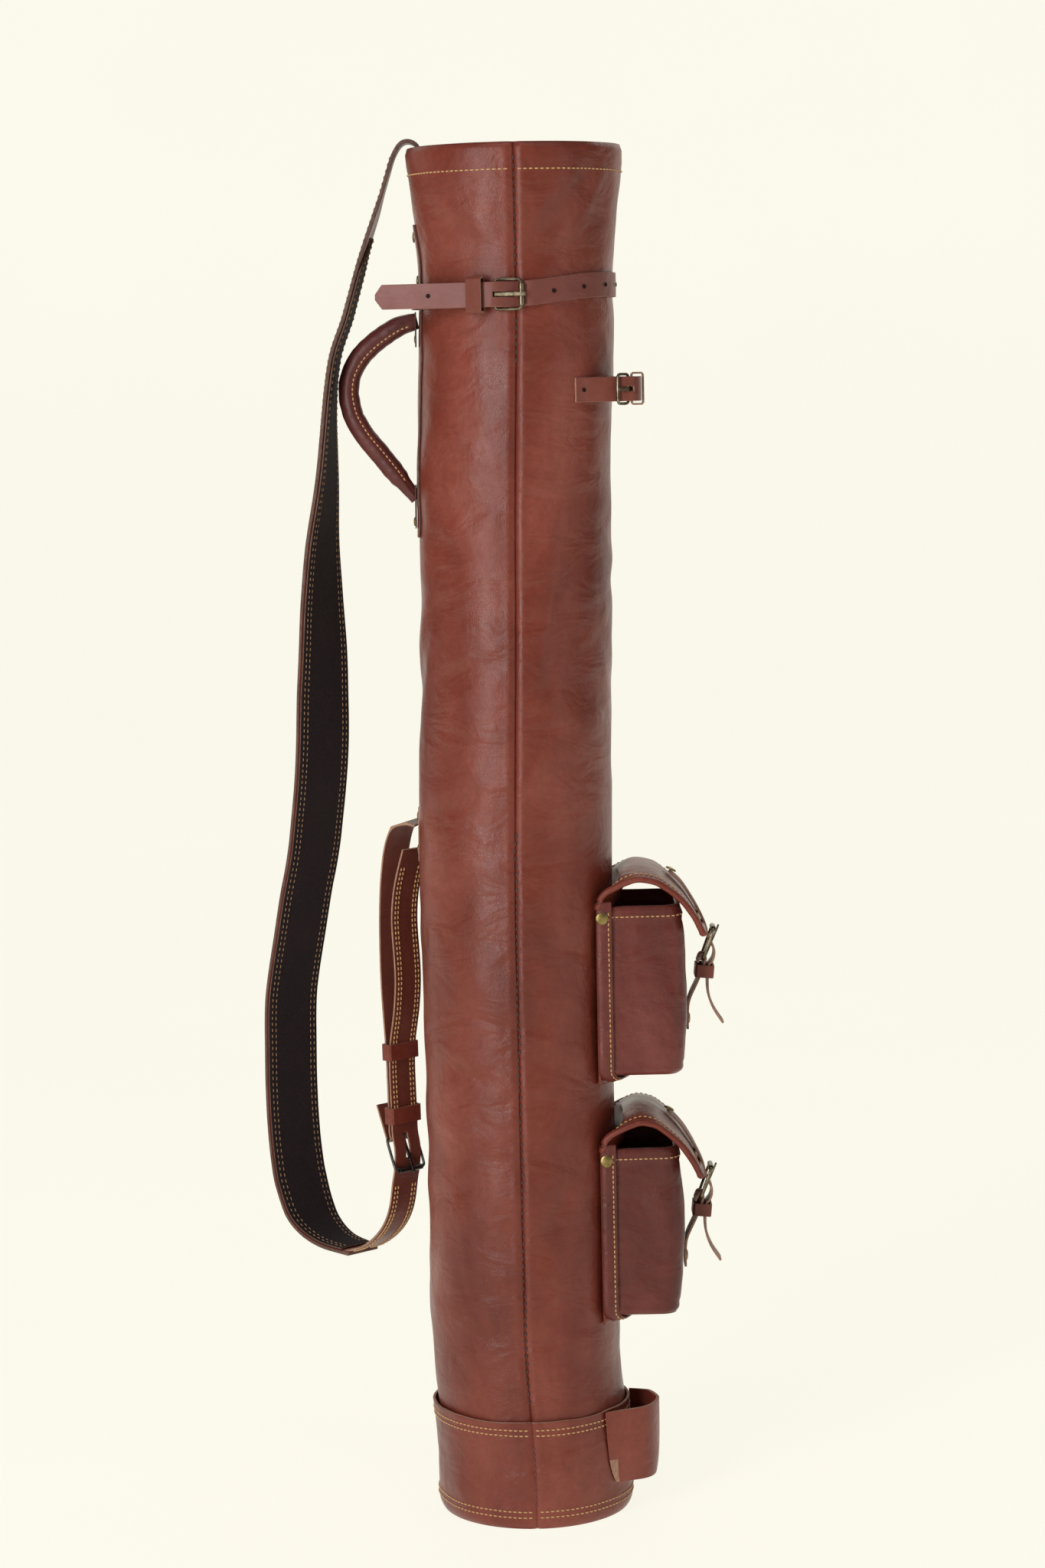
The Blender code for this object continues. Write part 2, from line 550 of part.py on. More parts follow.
# ---- Ball pockets -------------------------------------------------------------------------------
def make_pocket(name, drop, reach, skin, edge, metal):
    """One pocket: everything is placed as for the upper one, then lowered and its front set back."""
    upright = Plane((0, 0, 0), (1, 0, 0), (0, 0, 1))
    hinge_x, hinge_z = FLAP_HINGE[0], FLAP_HINGE[1] - drop

    def place(x, z):
        return Vector((x + reach * ease(hinge_x, 0.099, x), z - drop))

    bottom, top = POCKET_BOTTOM - drop, POCKET_TOP - drop
    front = POCKET_FRONT + reach

    back_angle = 36.0
    angles = [-back_angle + 9 * k for k in range(9)]
    tube_wall(name + "_pocket_back", angles, [bottom - 0.006, bottom + 0.05, top + 0.002],
              0.0005 + 0.0020, 0.0020, skin)

    seat = 0.0036
    outlines = []
    for z, bulge in ((bottom, -0.0030), (bottom + 0.055, 0.0), (top, -0.0040)):
        corner = 0.008
        face = front + bulge
        points = [Vector((tube_x(-POCKET_HALF, z, seat), -POCKET_HALF)), Vector((0.07, -POCKET_HALF))]
        for side, turns in ((-1, (-90, -60, -30, 0)), (1, (0, 30, 60, 90))):
            for turn in turns:
                t = math.radians(turn)
                points.append(Vector((face - corner + corner * math.cos(t),
                                      side * (POCKET_HALF - corner) + corner * math.sin(t))))
        points += [Vector((0.07, POCKET_HALF)), Vector((tube_x(POCKET_HALF, z, seat), POCKET_HALF))]
        outlines.append((z, points))
    pouch(name + "_pocket_pouch", outlines, 0.0020, skin, seat)

    side = POCKET_HALF + 0.0003 + 0.0009
    low = bottom - 0.0013
    run = [(-side, top), (-side, low), (-0.028, low), (-0.018, low), (-0.009, low), (0.0, low)]
    run += [(-y, z) for y, z in run[-2::-1]]
    grid = []
    for y, z in run:
        inner_y = math.copysign(min(abs(y), POCKET_HALF), y)
        x = tube_x(inner_y, z, 0.0034)
        grid.append([Vector((x, y, z)), Vector((x + 0.0085, y, z))])
    slab(name + "_pocket_binding", grid, 0.0018, edge)

    columns = [FLAP_HALF * k / 4 for k in range(-4, 5)]

    def flap_sheet(points):
        rows = []
        for x, z in points:
            crown = FLAP_CROWN * ease(0.048, 0.072, x) * (1 - ease(0.080, 0.1145, x))
            flat = place(x, z)
            rows.append([Vector((flat.x, y, flat.y + crown * (1 - (y / FLAP_HALF) ** 2))) for y in columns])
        return rows

    edge_line = smooth([(FLAP_HINGE[0] + 0.0008, 0.4193), (0.0734, 0.4228), (0.0890, 0.4185), (0.1010, 0.4090),
                        (0.1095, 0.3975), (0.1150, 0.3860)], 0.0110)
    hinge_at = (hinge_x, 0, hinge_z)
    slab(name + "_flap", flap_sheet([(p.x, p.y) for p in edge_line]), 0.0024, skin, origin=hinge_at)
    yoke = []
    for k in range(3):
        row = []
        for y in columns:
            start = tube_x(min(abs(y), 0.0405), top, 0.0034) + 0.0012
            x = start + (FLAP_HINGE[0] - 0.0008 - start) * k / 2
            crown = FLAP_CROWN * ease(0.048, 0.072, x) * (1 - (y / FLAP_HALF) ** 2)
            rise = ease(0.040, 0.066, x)
            row.append(Vector((x, y, 0.4090 - drop + 0.0102 * rise + crown * rise)))
        yoke.append(row)
    slab(name + "_flap_yoke", yoke, 0.0024, skin)

    buckle = Buckle(name + "_buckle", upright, place(0.1161, 0.3636), place(0.1234, 0.3831), (1, 0),
                    STRAP_WIDTH + 0.0012)
    on_flap = [place(x, z) for x, z in ((0.0955, 0.4208), (0.1027, 0.4142), (0.1116, 0.4000), (0.1172, 0.3885))]
    through = [buckle.flat(x, n) for x, n in ((0.0190, -0.0040), (0.0155, -0.0022), (0.0115, 0.0018),
                                              (0.0072, 0.0058), (0.0010, 0.0068), (-0.0035, 0.0052))]
    tail = [place(x, z) for x, z in ((0.1192, 0.3500), (0.1196, 0.3400), (0.1230, 0.3300), (0.1290, 0.3205))]
    route = smooth(on_flap + through + tail, 0.0030)
    strip(name + "_flap_tongue", upright, route, STRAP_WIDTH - 0.0015, STRAP_LEATHER, skin,
          buckle.tongue_slots(route), origin=hinge_at)

    on_front = POCKET_FRONT + 0.0004 + STRAP_LEATHER / 2
    rise = [place(x, z) for x, z in ((on_front, 0.3170), (on_front, 0.3260), (0.1068, 0.3370), (0.1108, 0.3450),
                                     (0.1142, 0.3520))]
    route = smooth(rise + buckle.fold(0.0036), 0.0060)
    strip(name + "_chape", upright, route, STRAP_WIDTH, STRAP_LEATHER, skin, buckle.fold_slots(route))
    buckle.build(metal)
    keeper(name + "_keeper", upright, place(0.1172, 0.3552), (0.10, 1), -0.0050, 0.0050, STRAP_WIDTH + 0.0012,
           0.0082, skin)
    foot = POCKET_HALF + 0.0003 + 0.0018 + 0.0004
    for where, s in (("near", -1), ("far", 1)):
        rivet_cap(name + "_pocket_rivet_" + where, (0.0500, s * foot, 0.3970 - drop), (0, s, 0), metal)


# ---- Carry handle -------------------------------------------------------------------------------
def make_handle(skin, edge):
    half_angle = 11.0
    backing = 0.0005 + 0.0020
    angles = [180 + half_angle * k / 2 for k in (-2, -1, 0, 1, 2)]
    tube_wall("handle_backing", angles, [0.642, 0.66, FLARE_START, 0.842], backing, 0.0020, edge)
    tab = backing + 0.0004 + 0.0018
    for name, low, high in (("handle_tab_upper", 0.7640, 0.7865), ("handle_tab_lower", 0.6480, 0.6760)):
        tube_wall(name, [172, 180, 188], [low, (low + high) / 2, high], tab, 0.0018, skin)
    route = smooth([(-0.0656, 0.7795), (-0.0720, 0.7775), (-0.0800, 0.7730), (-0.0890, 0.7665),
                    (-0.0975, 0.7580), (-0.1035, 0.7470), (-0.1052, 0.7350), (-0.1030, 0.7225),
                    (-0.0960, 0.7090), (-0.0870, 0.6965), (-0.0790, 0.6845), (-0.0735, 0.6740),
                    (-0.0714, 0.6665)], 0.0085)
    centres = [Vector((p.x, 0, p.y)) for p in route]
    last = len(centres) - 1
    radii = []
    for i in range(last + 1):
        from_end = min(i, last - i) / 2.0
        radii.append(HANDLE_END_R + (HANDLE_R - HANDLE_END_R) * min(1.0, from_end))
    swept("handle_roll", centres, radii, 10, skin, (0, 1, 0), origin=(-0.0656, 0, 0.7795))


# ---- Shoulder strap -----------------------------------------------------------------------------
def make_shoulder_strap(skin, lining, edge, metal):
    """The pad leaves the mouth over the rim, rests outside the handle and swings back as it falls.

    From the bottom of its loop the strap lies in one upright plane, whose routes are written as
    distance out from the tube, then height.
    """
    turn = math.degrees(STRAP_PLANE_TURN)
    hang = Plane((*STRAP_PLANE_AT, 0), (math.cos(STRAP_PLANE_TURN), math.sin(STRAP_PLANE_TURN), 0), (0, 0, 1))
    anchor = hang.point((0.0, 0.4520))

    upper = [(-0.0512, 0.0, 0.8430), (-0.0520, 0.0, 0.8640), (-0.0540, 0.0, 0.8830), (-0.0572, 0.0, 0.8912),
             (-0.0625, 0.0, 0.8942), (-0.0680, 0.0, 0.8925), (-0.0728, 0.0, 0.8850), (-0.0845, 0.0, 0.8490),
             (-0.0946, 0.0, 0.8200), (-0.1062, 0.0, 0.7814), (-0.1134, 0.0, 0.7620), (-0.1170, 0.0005, 0.7425),
             (-0.1190, 0.0030, 0.7220), (-0.1220, 0.0150, 0.6810), (-0.1267, 0.0290, 0.6380),
             (-0.1288, 0.0420, 0.5970), (-0.1303, 0.0580, 0.5500), (-0.1338, 0.0760, 0.4880)]
    loop = [(0.1120, 0.4310), (0.1216, 0.3992), (0.1311, 0.3664), (0.1400, 0.3335), (0.1445, 0.3050),
            (0.1448, 0.2577), (0.1435, 0.2220), (0.1380, 0.1937), (0.1290, 0.1735), (0.1170, 0.1625),
            (0.1000, 0.1562), (0.0800, 0.1545)]
    route = smooth([Vector(p) for p in upper] + [hang.point(p) for p in loop], 0.0150)
    turns, widths = [], []
    last = len(route) - 1
    for i, p in enumerate(route):
        on_way_down = i > 8
        lean = 9 * ease(-0.885, -0.835, -p.z)
        turns.append(180 - (lean + (171 - turn) * ease(-0.74, -0.50, -p.z)) * on_way_down)
        narrow_top = 0.45 * (1 - ease(4, 18, i))
        narrow_end = 0.40 * ease(last - 5, last, i)
        widths.append(PAD_WIDTH * (1 - narrow_top - narrow_end))
    ribbon("strap_pad", route, turns, widths, PAD_LEATHER, skin, origin=anchor)
    inner = PAD_LEATHER / 2 + 0.0008 + LINING / 2
    first = 10
    liner = []
    for i in range(first, last):
        along = (route[i + 1] - route[i - 1]).normalized()
        t = math.radians(turns[i])
        liner.append(route[i] + along.cross(Vector((math.sin(t), -math.cos(t), 0))).normalized() * inner)
    ribbon("strap_lining", liner, turns[first:last], [w - 0.0024 for w in widths[first:last]], LINING, lining,
           origin=anchor)

    buckle = Buckle("strap_buckle", hang, (0.0285, 0.2405), (0.0195, 0.2195), (-1, 0.4), TONGUE_WIDTH + 0.0014)
    lower = [(0.0791, 0.1548), (0.0640, 0.1585), (0.0520, 0.1650), (0.0400, 0.1745), (0.0310, 0.1870),
             (0.0272, 0.2000), (0.0258, 0.2100)]
    within = [buckle.flat(buckle.length * f, n) for f, n in ((1.0, -UNDER - 0.0008), (0.66, 0.0006),
                                                             (0.34, 0.0040))]
    over = [buckle.flat(-0.0010, OVER + 0.0004)]
    stack = [(0.0244, 0.2500), (0.0248, 0.2620), (0.0254, 0.2800), (0.0256, 0.2946), (0.0240, 0.3080)]
    tail = [(0.0200, 0.3230), (0.0170, 0.3470), (0.0180, 0.3680), (0.0195, 0.3885), (0.0165, 0.4090),
            (0.0110, 0.4250), (0.0060, 0.4370)]
    route = smooth([Vector(p) for p in lower] + within + over + [Vector(p) for p in stack + tail], 0.0110)
    strip("strap_tongue", hang, route, TONGUE_WIDTH, STRAP_LEATHER, skin, buckle.tongue_slots(route),
          origin=anchor)

    chape = [(0.0020, 0.4530), (0.0088, 0.4548), (0.0183, 0.4509), (0.0251, 0.4391), (0.0291, 0.4183),
             (0.0319, 0.3871), (0.0320, 0.3458), (0.0300, 0.3180), (0.0284, 0.3000), (0.0280, 0.2800),
             (0.0276, 0.2620), (0.0272, 0.2500)]
    route = smooth([Vector(p) for p in chape] + buckle.fold(0.0240), 0.0170)
    turns = [turn + (167 - turn) * (1 - ease(0.002, 0.024, p.x)) * (p.y > 0.43) for p in route]
    ribbon("strap_chape", [hang.point(p) for p in route], turns, [TONGUE_WIDTH] * len(route), STRAP_LEATHER,
           skin, buckle.fold_slots(route), origin=anchor)
    buckle.build(metal)
    for name, z, s in (("strap_keeper_lower", 0.2560, 0.0258), ("strap_keeper_upper", 0.2990, 0.0268)):
        keeper(name, hang, (s, z), (0.02, 1), -0.0034, 0.0034, TONGUE_WIDTH + 0.0016, 0.0110, skin)
    tube_wall("strap_anchor_tab", [159, 167, 175], [0.4300, 0.4520, 0.4660], 0.0005 + 0.0018, 0.0018, edge)
    wall = -LEATHER - GAP - LINER - 0.0005
    tube_wall("strap_top_tab", [171, 180, 189], [0.8380, 0.8500, 0.8620], wall, 0.0018, edge)


def material(name, colour, roughness, metallic=0.0):
    mat = bpy.data.materials.new(name)
    mat.use_nodes = True
    shader = mat.node_tree.nodes["Principled BSDF"]
    shader.inputs["Base Color"].default_value = (*colour, 1)
    shader.inputs["Roughness"].default_value = roughness
    shader.inputs["Metallic"].default_value = metallic
    mat.diffuse_color = (*colour, 1)
    return mat


def main():
    for obj in list(bpy.data.objects):
        bpy.data.objects.remove(obj, do_unlink=True)
    skin = material("brown_leather", BROWN, 0.42)
    strap = material("strap_leather", DARK_BROWN, 0.40)
    edge = material("edge_leather", RAW_TAN, 0.60)
    lining = material("lining_leather", LINING_BROWN, 0.70)
    board = material("stiff_board", BOARD_TAN, 0.80)
    brass = material("old_brass", BRASS, 0.38, 1.0)
    gunmetal = material("gunmetal", GUNMETAL, 0.32, 1.0)
    make_tube(skin, board)
    make_umbrella_sleeve(skin)
    make_band(strap, brass)
    make_umbrella_strap(strap, brass)
    make_pocket("upper", 0.0, 0.0, skin, strap, brass)
    make_pocket("lower", POCKET_STEP, LOWER_REACH, skin, strap, brass)
    make_handle(skin, edge)
    make_shoulder_strap(strap, lining, edge, gunmetal)


main()
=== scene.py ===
"""Leather golf bag: the fine surfaces, stitching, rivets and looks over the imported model."""
import json
import math

import bmesh
import bpy
from mathutils import Matrix, Vector, noise
from mathutils.bvhtree import BVHTree


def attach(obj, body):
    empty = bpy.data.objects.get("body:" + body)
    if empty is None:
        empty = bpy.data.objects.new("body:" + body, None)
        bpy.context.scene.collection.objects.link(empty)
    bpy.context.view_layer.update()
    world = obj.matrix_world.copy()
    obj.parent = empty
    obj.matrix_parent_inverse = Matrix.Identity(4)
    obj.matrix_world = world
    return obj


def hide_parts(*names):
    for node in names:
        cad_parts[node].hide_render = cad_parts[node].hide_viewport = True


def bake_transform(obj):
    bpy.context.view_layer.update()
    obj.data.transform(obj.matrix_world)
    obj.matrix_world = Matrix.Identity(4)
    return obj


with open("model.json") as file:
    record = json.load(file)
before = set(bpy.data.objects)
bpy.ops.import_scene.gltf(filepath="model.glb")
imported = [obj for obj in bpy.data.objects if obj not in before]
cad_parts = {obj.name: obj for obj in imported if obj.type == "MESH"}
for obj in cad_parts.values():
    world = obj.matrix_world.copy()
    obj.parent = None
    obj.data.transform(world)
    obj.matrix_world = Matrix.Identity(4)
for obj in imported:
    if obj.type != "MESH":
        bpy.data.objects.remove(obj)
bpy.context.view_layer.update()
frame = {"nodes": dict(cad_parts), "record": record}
nodes = frame["nodes"]
home = {node: body for body, names in frame["record"]["behaviour"]["bodies"].items() for node in names}

# ---- The bag's own sizes, in metres ----------------------------------------------------------
HEIGHT = 0.889
BODY_R = 0.0622
RIM_FLARE = 0.0068
FLARE_START = 0.81
BOW_NECK = 0.0039
BOW_BELLY = 0.0050
LEATHER = 0.0022
FOLD_GAIN = 1.5              # how far the table of folds is deepened
DENT_DEPTH = 0.0020          # deepest dent, short of the stiffener behind the leather
CUFF_TOP = 0.0713
HEM_Z = 0.8725
BACKING = 0.0013             # leather behind the handle
SEAM_AT = 293.0              # degrees round the handle, where its cover is sewn
BAND_Z = 0.7955
POCKET_HALF = 0.0400
POCKET_TOP = 0.4040
POCKET_BOTTOM = 0.2930
POCKET_FRONT = 0.1045
POCKETS = {"upper": (0.0, 0.0), "lower": (0.159, -0.004)}
FLAP_HALF = 0.0425
FLAP_FOLD = 0.0640
FLAP_CROWN = 0.0050
PAD_WIDTH = 0.044
TONGUE_WIDTH = 0.022
STITCH = 0.00050             # thread radius


# ---- Shape rules -----------------------------------------------------------------------------
def ease(low, high, value):
    t = min(1.0, max(0.0, (value - low) / (high - low)))
    return t * t * (3 - 2 * t)


def bow(z):
    return (BOW_NECK * ease(0.62, FLARE_START, z)
            - BOW_BELLY * ease(0.02, 0.13, z) * (1 - ease(0.38, 0.66, z)))


def band_rise(angle):
    """How far the neck band climbs towards the pockets' side."""
    return 0.0055 * ease(0.0, BODY_R, BODY_R * math.cos(math.radians(angle)))


def radius(z):
    return BODY_R + RIM_FLARE * ease(FLARE_START - 0.004, HEIGHT + 0.004, z)


def soft(x, y, z, size, seed=0.0):
    """Smooth noise from -1 to 1 whose bumps are about a size across."""
    return noise.noise(Vector((x, y, z)) / size + Vector((seed, seed * 1.7, seed * 0.3)))


FOLDS = (                 # angle, height, tilt, half length, half width, depth of each soft fold
    (-58, 0.852, 50, 0.030, 0.0075, 0.0021), (-38, 0.838, 62, 0.026, 0.0080, 0.0017),
    (-66, 0.822, 25, 0.018, 0.0060, 0.0012), (-128, 0.838, -30, 0.020, 0.0060, 0.0012),
    (-118, 0.664, 8, 0.014, 0.0085, 0.0014), (-140, 0.640, -20, 0.026, 0.0070, 0.0012),
    (-112, 0.560, 15, 0.024, 0.0070, 0.0010), (-60, 0.600, 75, 0.045, 0.0090, 0.0011),
    (-135, 0.470, 20, 0.024, 0.0080, 0.0011), (-125, 0.300, -12, 0.022, 0.0070, 0.0013),
    (-150, 0.215, 18, 0.026, 0.0080, 0.0014), (-58, 0.300, -20, 0.024, 0.0070, 0.0012),
    (-70, 0.205, 65, 0.034, 0.0080, 0.0013), (-128, 0.125, 10, 0.028, 0.0090, 0.0013),
    (-60, 0.110, -25, 0.026, 0.0080, 0.0013), (120, 0.700, 30, 0.030, 0.0090, 0.0013),
    (60, 0.560, -30, 0.034, 0.0090, 0.0013), (100, 0.380, 55, 0.030, 0.0085, 0.0012),
    (150, 0.180, 20, 0.030, 0.0090, 0.0014), (30, 0.110, 10, 0.030, 0.0080, 0.0011),
    (20, 0.620, 20, 0.030, 0.0090, 0.0012), (-170, 0.560, 60, 0.034, 0.0090, 0.0012))


def folds(angle, z):
    """Dips of the long soft folds, each with a low ridge along one side."""
    total = 0.0
    for at, height, tilt, length, width, depth in FOLDS:
        round_way = (angle - at + 180) % 360 - 180
        u, v = math.radians(round_way) * BODY_R, z - height
        if abs(u) > 0.07 or abs(v) > 0.07:
            continue
        t = math.radians(tilt)
        along, off = u * math.cos(t) + v * math.sin(t), v * math.cos(t) - u * math.sin(t)
        reach = math.exp(-(along / length) ** 2)
        groove = math.exp(-(off / width) ** 2)
        pushed_up = 0.45 * math.exp(-((off - 1.5 * width) / width) ** 2)
        total -= depth * reach * (groove - pushed_up)
    return total


def sag(angle, z):
    """How far the leather dips or swells at a place on the tube."""
    a = math.radians(angle)
    x, y = BODY_R * math.cos(a), BODY_R * math.sin(a)
    broad = soft(x, y, z * 0.62, 0.075, 3.1)
    fold = soft(x * 0.5, y * 0.5, z, 0.030, 8.4)
    small = soft(x, y, z * 0.8, 0.013, 5.5)
    quiet = 1 - 0.6 * math.exp(-((z - BAND_Z) / 0.016) ** 2)
    belt = -0.0007 * math.exp(-((z - BAND_Z) / 0.011) ** 2)
    hem = 0.00045 * ease(HEM_Z - 0.001, HEM_Z + 0.004, z) - 0.0004 * math.exp(-((z - HEM_Z) / 0.0012) ** 2)
    dent = (broad * 0.0019 + fold * 0.0013 + small * 0.00045 - 0.0003 + FOLD_GAIN * folds(angle, z)) * quiet
    if dent < 0:
        dent = -DENT_DEPTH * math.tanh(-dent / DENT_DEPTH)
    return min(0.0007, dent) + belt + hem


def on_tube(angle, z, stand_off):
    r = radius(z) + stand_off
    a = math.radians(angle)
    return Vector((bow(z) + r * math.cos(a), r * math.sin(a), z))


def tube_x(y, z, stand_off):
    return bow(z) + math.sqrt((radius(z) + stand_off) ** 2 - y * y)


def smooth(points, spacing=None, steps=None):
    """Smooth curve through the points, by a spacing or by a number of steps for each stretch."""
    points = [Vector(p) for p in points]
    ends = [2 * points[0] - points[1]] + points + [2 * points[-1] - points[-2]]
    found = []
    for i in range(1, len(ends) - 2):
        a, b, c, d = ends[i - 1:i + 3]
        count = steps or max(1, round((c - b).length / spacing))
        for k in range(count):
            t = k / count
            found.append(0.5 * (2 * b + (c - a) * t + (2 * a - 5 * b + 4 * c - d) * t * t
                                + (3 * b - a - 3 * c + d) * t ** 3))
    return found + [points[-1]]


def between(values, at):
    """Value at a fractional place in a list."""
    i = min(int(at), len(values) - 2)
    return values[i] + (values[i + 1] - values[i]) * (at - i)


# ---- Materials -------------------------------------------------------------------------------
class Nodes:
    """Short way to wire one material's nodes."""

    def __init__(self, name, metallic=0.0):
        self.material = bpy.data.materials.new(name)
        self.material.use_nodes = True
        self.tree = self.material.node_tree
        self.shader = self.tree.nodes["Principled BSDF"]
        self.shader.inputs["Metallic"].default_value = metallic
        self.place = self.tree.nodes.new("ShaderNodeTexCoord").outputs["Object"]

    def add(self, kind, links=(), **settings):
        node = self.tree.nodes.new(kind)
        for key, value in settings.items():
            setattr(node, key, value)
        for socket, source in dict(links).items():
            if hasattr(source, "links"):
                self.tree.links.new(source, node.inputs[socket])
            else:
                node.inputs[socket].default_value = source
        return node

    def stretched(self, scale):
        return self.add("ShaderNodeMapping", {"Vector": self.place, "Scale": scale}).outputs["Vector"]

    def noise(self, scale, detail=3.0, rough=0.55, vector=None, distortion=0.0):
        return self.add("ShaderNodeTexNoise", {
            "Vector": vector or self.place, "Scale": scale, "Detail": detail, "Roughness": rough,
            "Distortion": distortion}).outputs["Fac"]

    def ramp(self, factor, stops):
        node = self.add("ShaderNodeValToRGB", {"Fac": factor})
        while len(node.color_ramp.elements) < len(stops):
            node.color_ramp.elements.new(0.5)
        for element, (at, colour) in zip(node.color_ramp.elements, stops):
            element.position = at
            element.color = (*colour, 1)
        return node.outputs["Color"]

    def span(self, factor, low, high, start=0.3, end=0.7):
        return self.add("ShaderNodeMapRange", {"Value": factor, "From Min": start, "From Max": end,
                                               "To Min": low, "To Max": high}).outputs["Result"]

    def mix(self, factor, a, b, blend="MIX"):
        node = self.add("ShaderNodeMix", data_type="RGBA", blend_type=blend)
        for index, source in ((0, factor), (6, a), (7, b)):
            if hasattr(source, "links"):
                self.tree.links.new(source, node.inputs[index])
            else:
                node.inputs[index].default_value = source
        return node.outputs[2]

    def bump(self, height, distance, strength=1.0, under=None):
        links = {"Height": height, "Distance": distance, "Strength": strength}
        if under:
            links["Normal"] = under
        return self.add("ShaderNodeBump", links).outputs["Normal"]

    def set(self, **values):
        for key, value in values.items():
            socket = self.shader.inputs[key.replace("_", " ")]
            if hasattr(value, "links"):
                self.tree.links.new(value, socket)
            else:
                socket.default_value = value
        return self.material


def leather(name, dark, base, light, brown_tone_and_shade=None, low=0.26, high=0.44, grain=1.0, sheen=0.02):
    n = Nodes(name)
    cloudy = n.ramp(n.noise(13, 5, 0.6, n.stretched((1, 1, 0.55)), 0.4),
                    [(0.30, dark), (0.50, base), (0.70, light)])
    speck = n.noise(240, 4, 0.65)
    mottled = n.mix(n.span(speck, 0.0, 0.34, 0.35, 0.75), cloudy, (*dark, 1))
    scratch = n.noise(90, 6, 0.7, n.stretched((0.25, 0.25, 1.6)), 1.2)
    colour = n.mix(n.span(scratch, 0.0, 0.30, 0.60, 0.78), mottled, (*light, 1))
    cells = n.add("ShaderNodeTexVoronoi", {"Vector": n.place, "Scale": 760.0}, feature="DISTANCE_TO_EDGE")
    pores = n.bump(n.span(cells.outputs["Distance"], 0.0, 1.0, 0.0, 0.16), 0.00007 * grain, 0.5)
    wrinkles = n.bump(n.noise(120, 5, 0.62, n.stretched((1, 1, 0.6)), 1.5), 0.0009 * grain, 0.38, pores)
    creases = n.bump(n.noise(34, 3, 0.5, n.stretched((0.7, 0.7, 1.3)), 0.8), 0.0058 * grain, 0.42, wrinkles)
    rough = n.span(n.noise(28, 4, 0.6), low, high)
    # Partly the band's own browner tone and partly painted shade: the colour turns browner and darker along
    # X from the keeper towards the buckle.
    if brown_tone_and_shade:
        start, end, tint = brown_tone_and_shade
        axis = n.add("ShaderNodeSeparateXYZ", {"Vector": n.place}).outputs["X"]
        colour = n.mix(n.span(axis, 0.0, 1.0, start, end), colour, n.mix(0.35, (*tint, 1), colour))
    return n.set(Base_Color=colour, Roughness=rough, Normal=creases, Sheen_Weight=sheen, Sheen_Roughness=0.4,
                 Sheen_Tint=(1.0, 0.62, 0.58, 1), Coat_Weight=0.05, Coat_Roughness=0.28,
                 Specular_IOR_Level=0.30)


def raw_edge(name, dark, light):
    n = Nodes(name)
    fibres = n.noise(900, 4, 0.7, n.stretched((1, 1, 0.3)))
    layers = n.noise(60, 3, 0.6)
    colour = n.mix(n.span(layers, 0.0, 0.5), n.ramp(fibres, [(0.3, dark), (0.7, light)]), (*dark, 1))
    return n.set(Base_Color=colour, Roughness=0.82, Normal=n.bump(fibres, 0.0004, 0.7))


def suede(name, dark, light):
    n = Nodes(name)
    nap = n.noise(700, 5, 0.75)
    worn = n.noise(35, 4, 0.6, None, 0.6)
    fluff = n.span(n.noise(1500, 2, 0.6), 0.0, 0.55, 0.66, 0.74)
    colour = n.mix(n.span(worn, 0.0, 0.6), n.ramp(nap, [(0.3, dark), (0.75, light)]), (*dark, 1))
    colour = n.mix(fluff, colour, (0.10, 0.055, 0.050, 1))
    return n.set(Base_Color=colour, Roughness=0.92, Normal=n.bump(nap, 0.0005, 0.8), Specular_IOR_Level=0.25)


def thread(name, dark, light):
    n = Nodes(name)
    ply = n.noise(2600, 2, 0.5, n.stretched((1, 1, 2)))
    return n.set(Base_Color=n.ramp(ply, [(0.35, dark), (0.65, light)]), Roughness=0.62,
                 Normal=n.bump(ply, 0.0002, 0.6), Sheen_Weight=0.2)


def metal(name, dark, light, low, high):
    n = Nodes(name, 1.0)
    patina = n.noise(160, 5, 0.65)
    scuffs = n.noise(900, 3, 0.6, n.stretched((1, 1, 0.2)))
    colour = n.ramp(patina, [(0.32, dark), (0.62, light)])
    return n.set(Base_Color=colour, Roughness=n.span(patina, high, low), Normal=n.bump(scuffs, 0.00008, 0.5))


def board(name):
    n = Nodes(name)
    pressed = n.noise(420, 4, 0.7)
    return n.set(Base_Color=n.ramp(pressed, [(0.3, (0.11, 0.075, 0.05)), (0.7, (0.22, 0.15, 0.10))]),
                 Roughness=0.88, Normal=n.bump(pressed, 0.0003, 0.6))


BROWN = leather("brown_leather", (0.112, 0.019, 0.011), (0.188, 0.036, 0.021), (0.268, 0.066, 0.043))
POUCH = leather("pouch_leather", (0.066, 0.013, 0.010), (0.132, 0.026, 0.019), (0.205, 0.050, 0.038))
MAROON = leather("handle_leather", (0.062, 0.014, 0.012), (0.112, 0.025, 0.021), (0.175, 0.046, 0.040),
                 None, 0.30, 0.48, 0.8)
STRAP = leather("strap_leather", (0.105, 0.024, 0.016), (0.170, 0.041, 0.026), (0.240, 0.066, 0.046),
                None, 0.36, 0.54, 0.7)
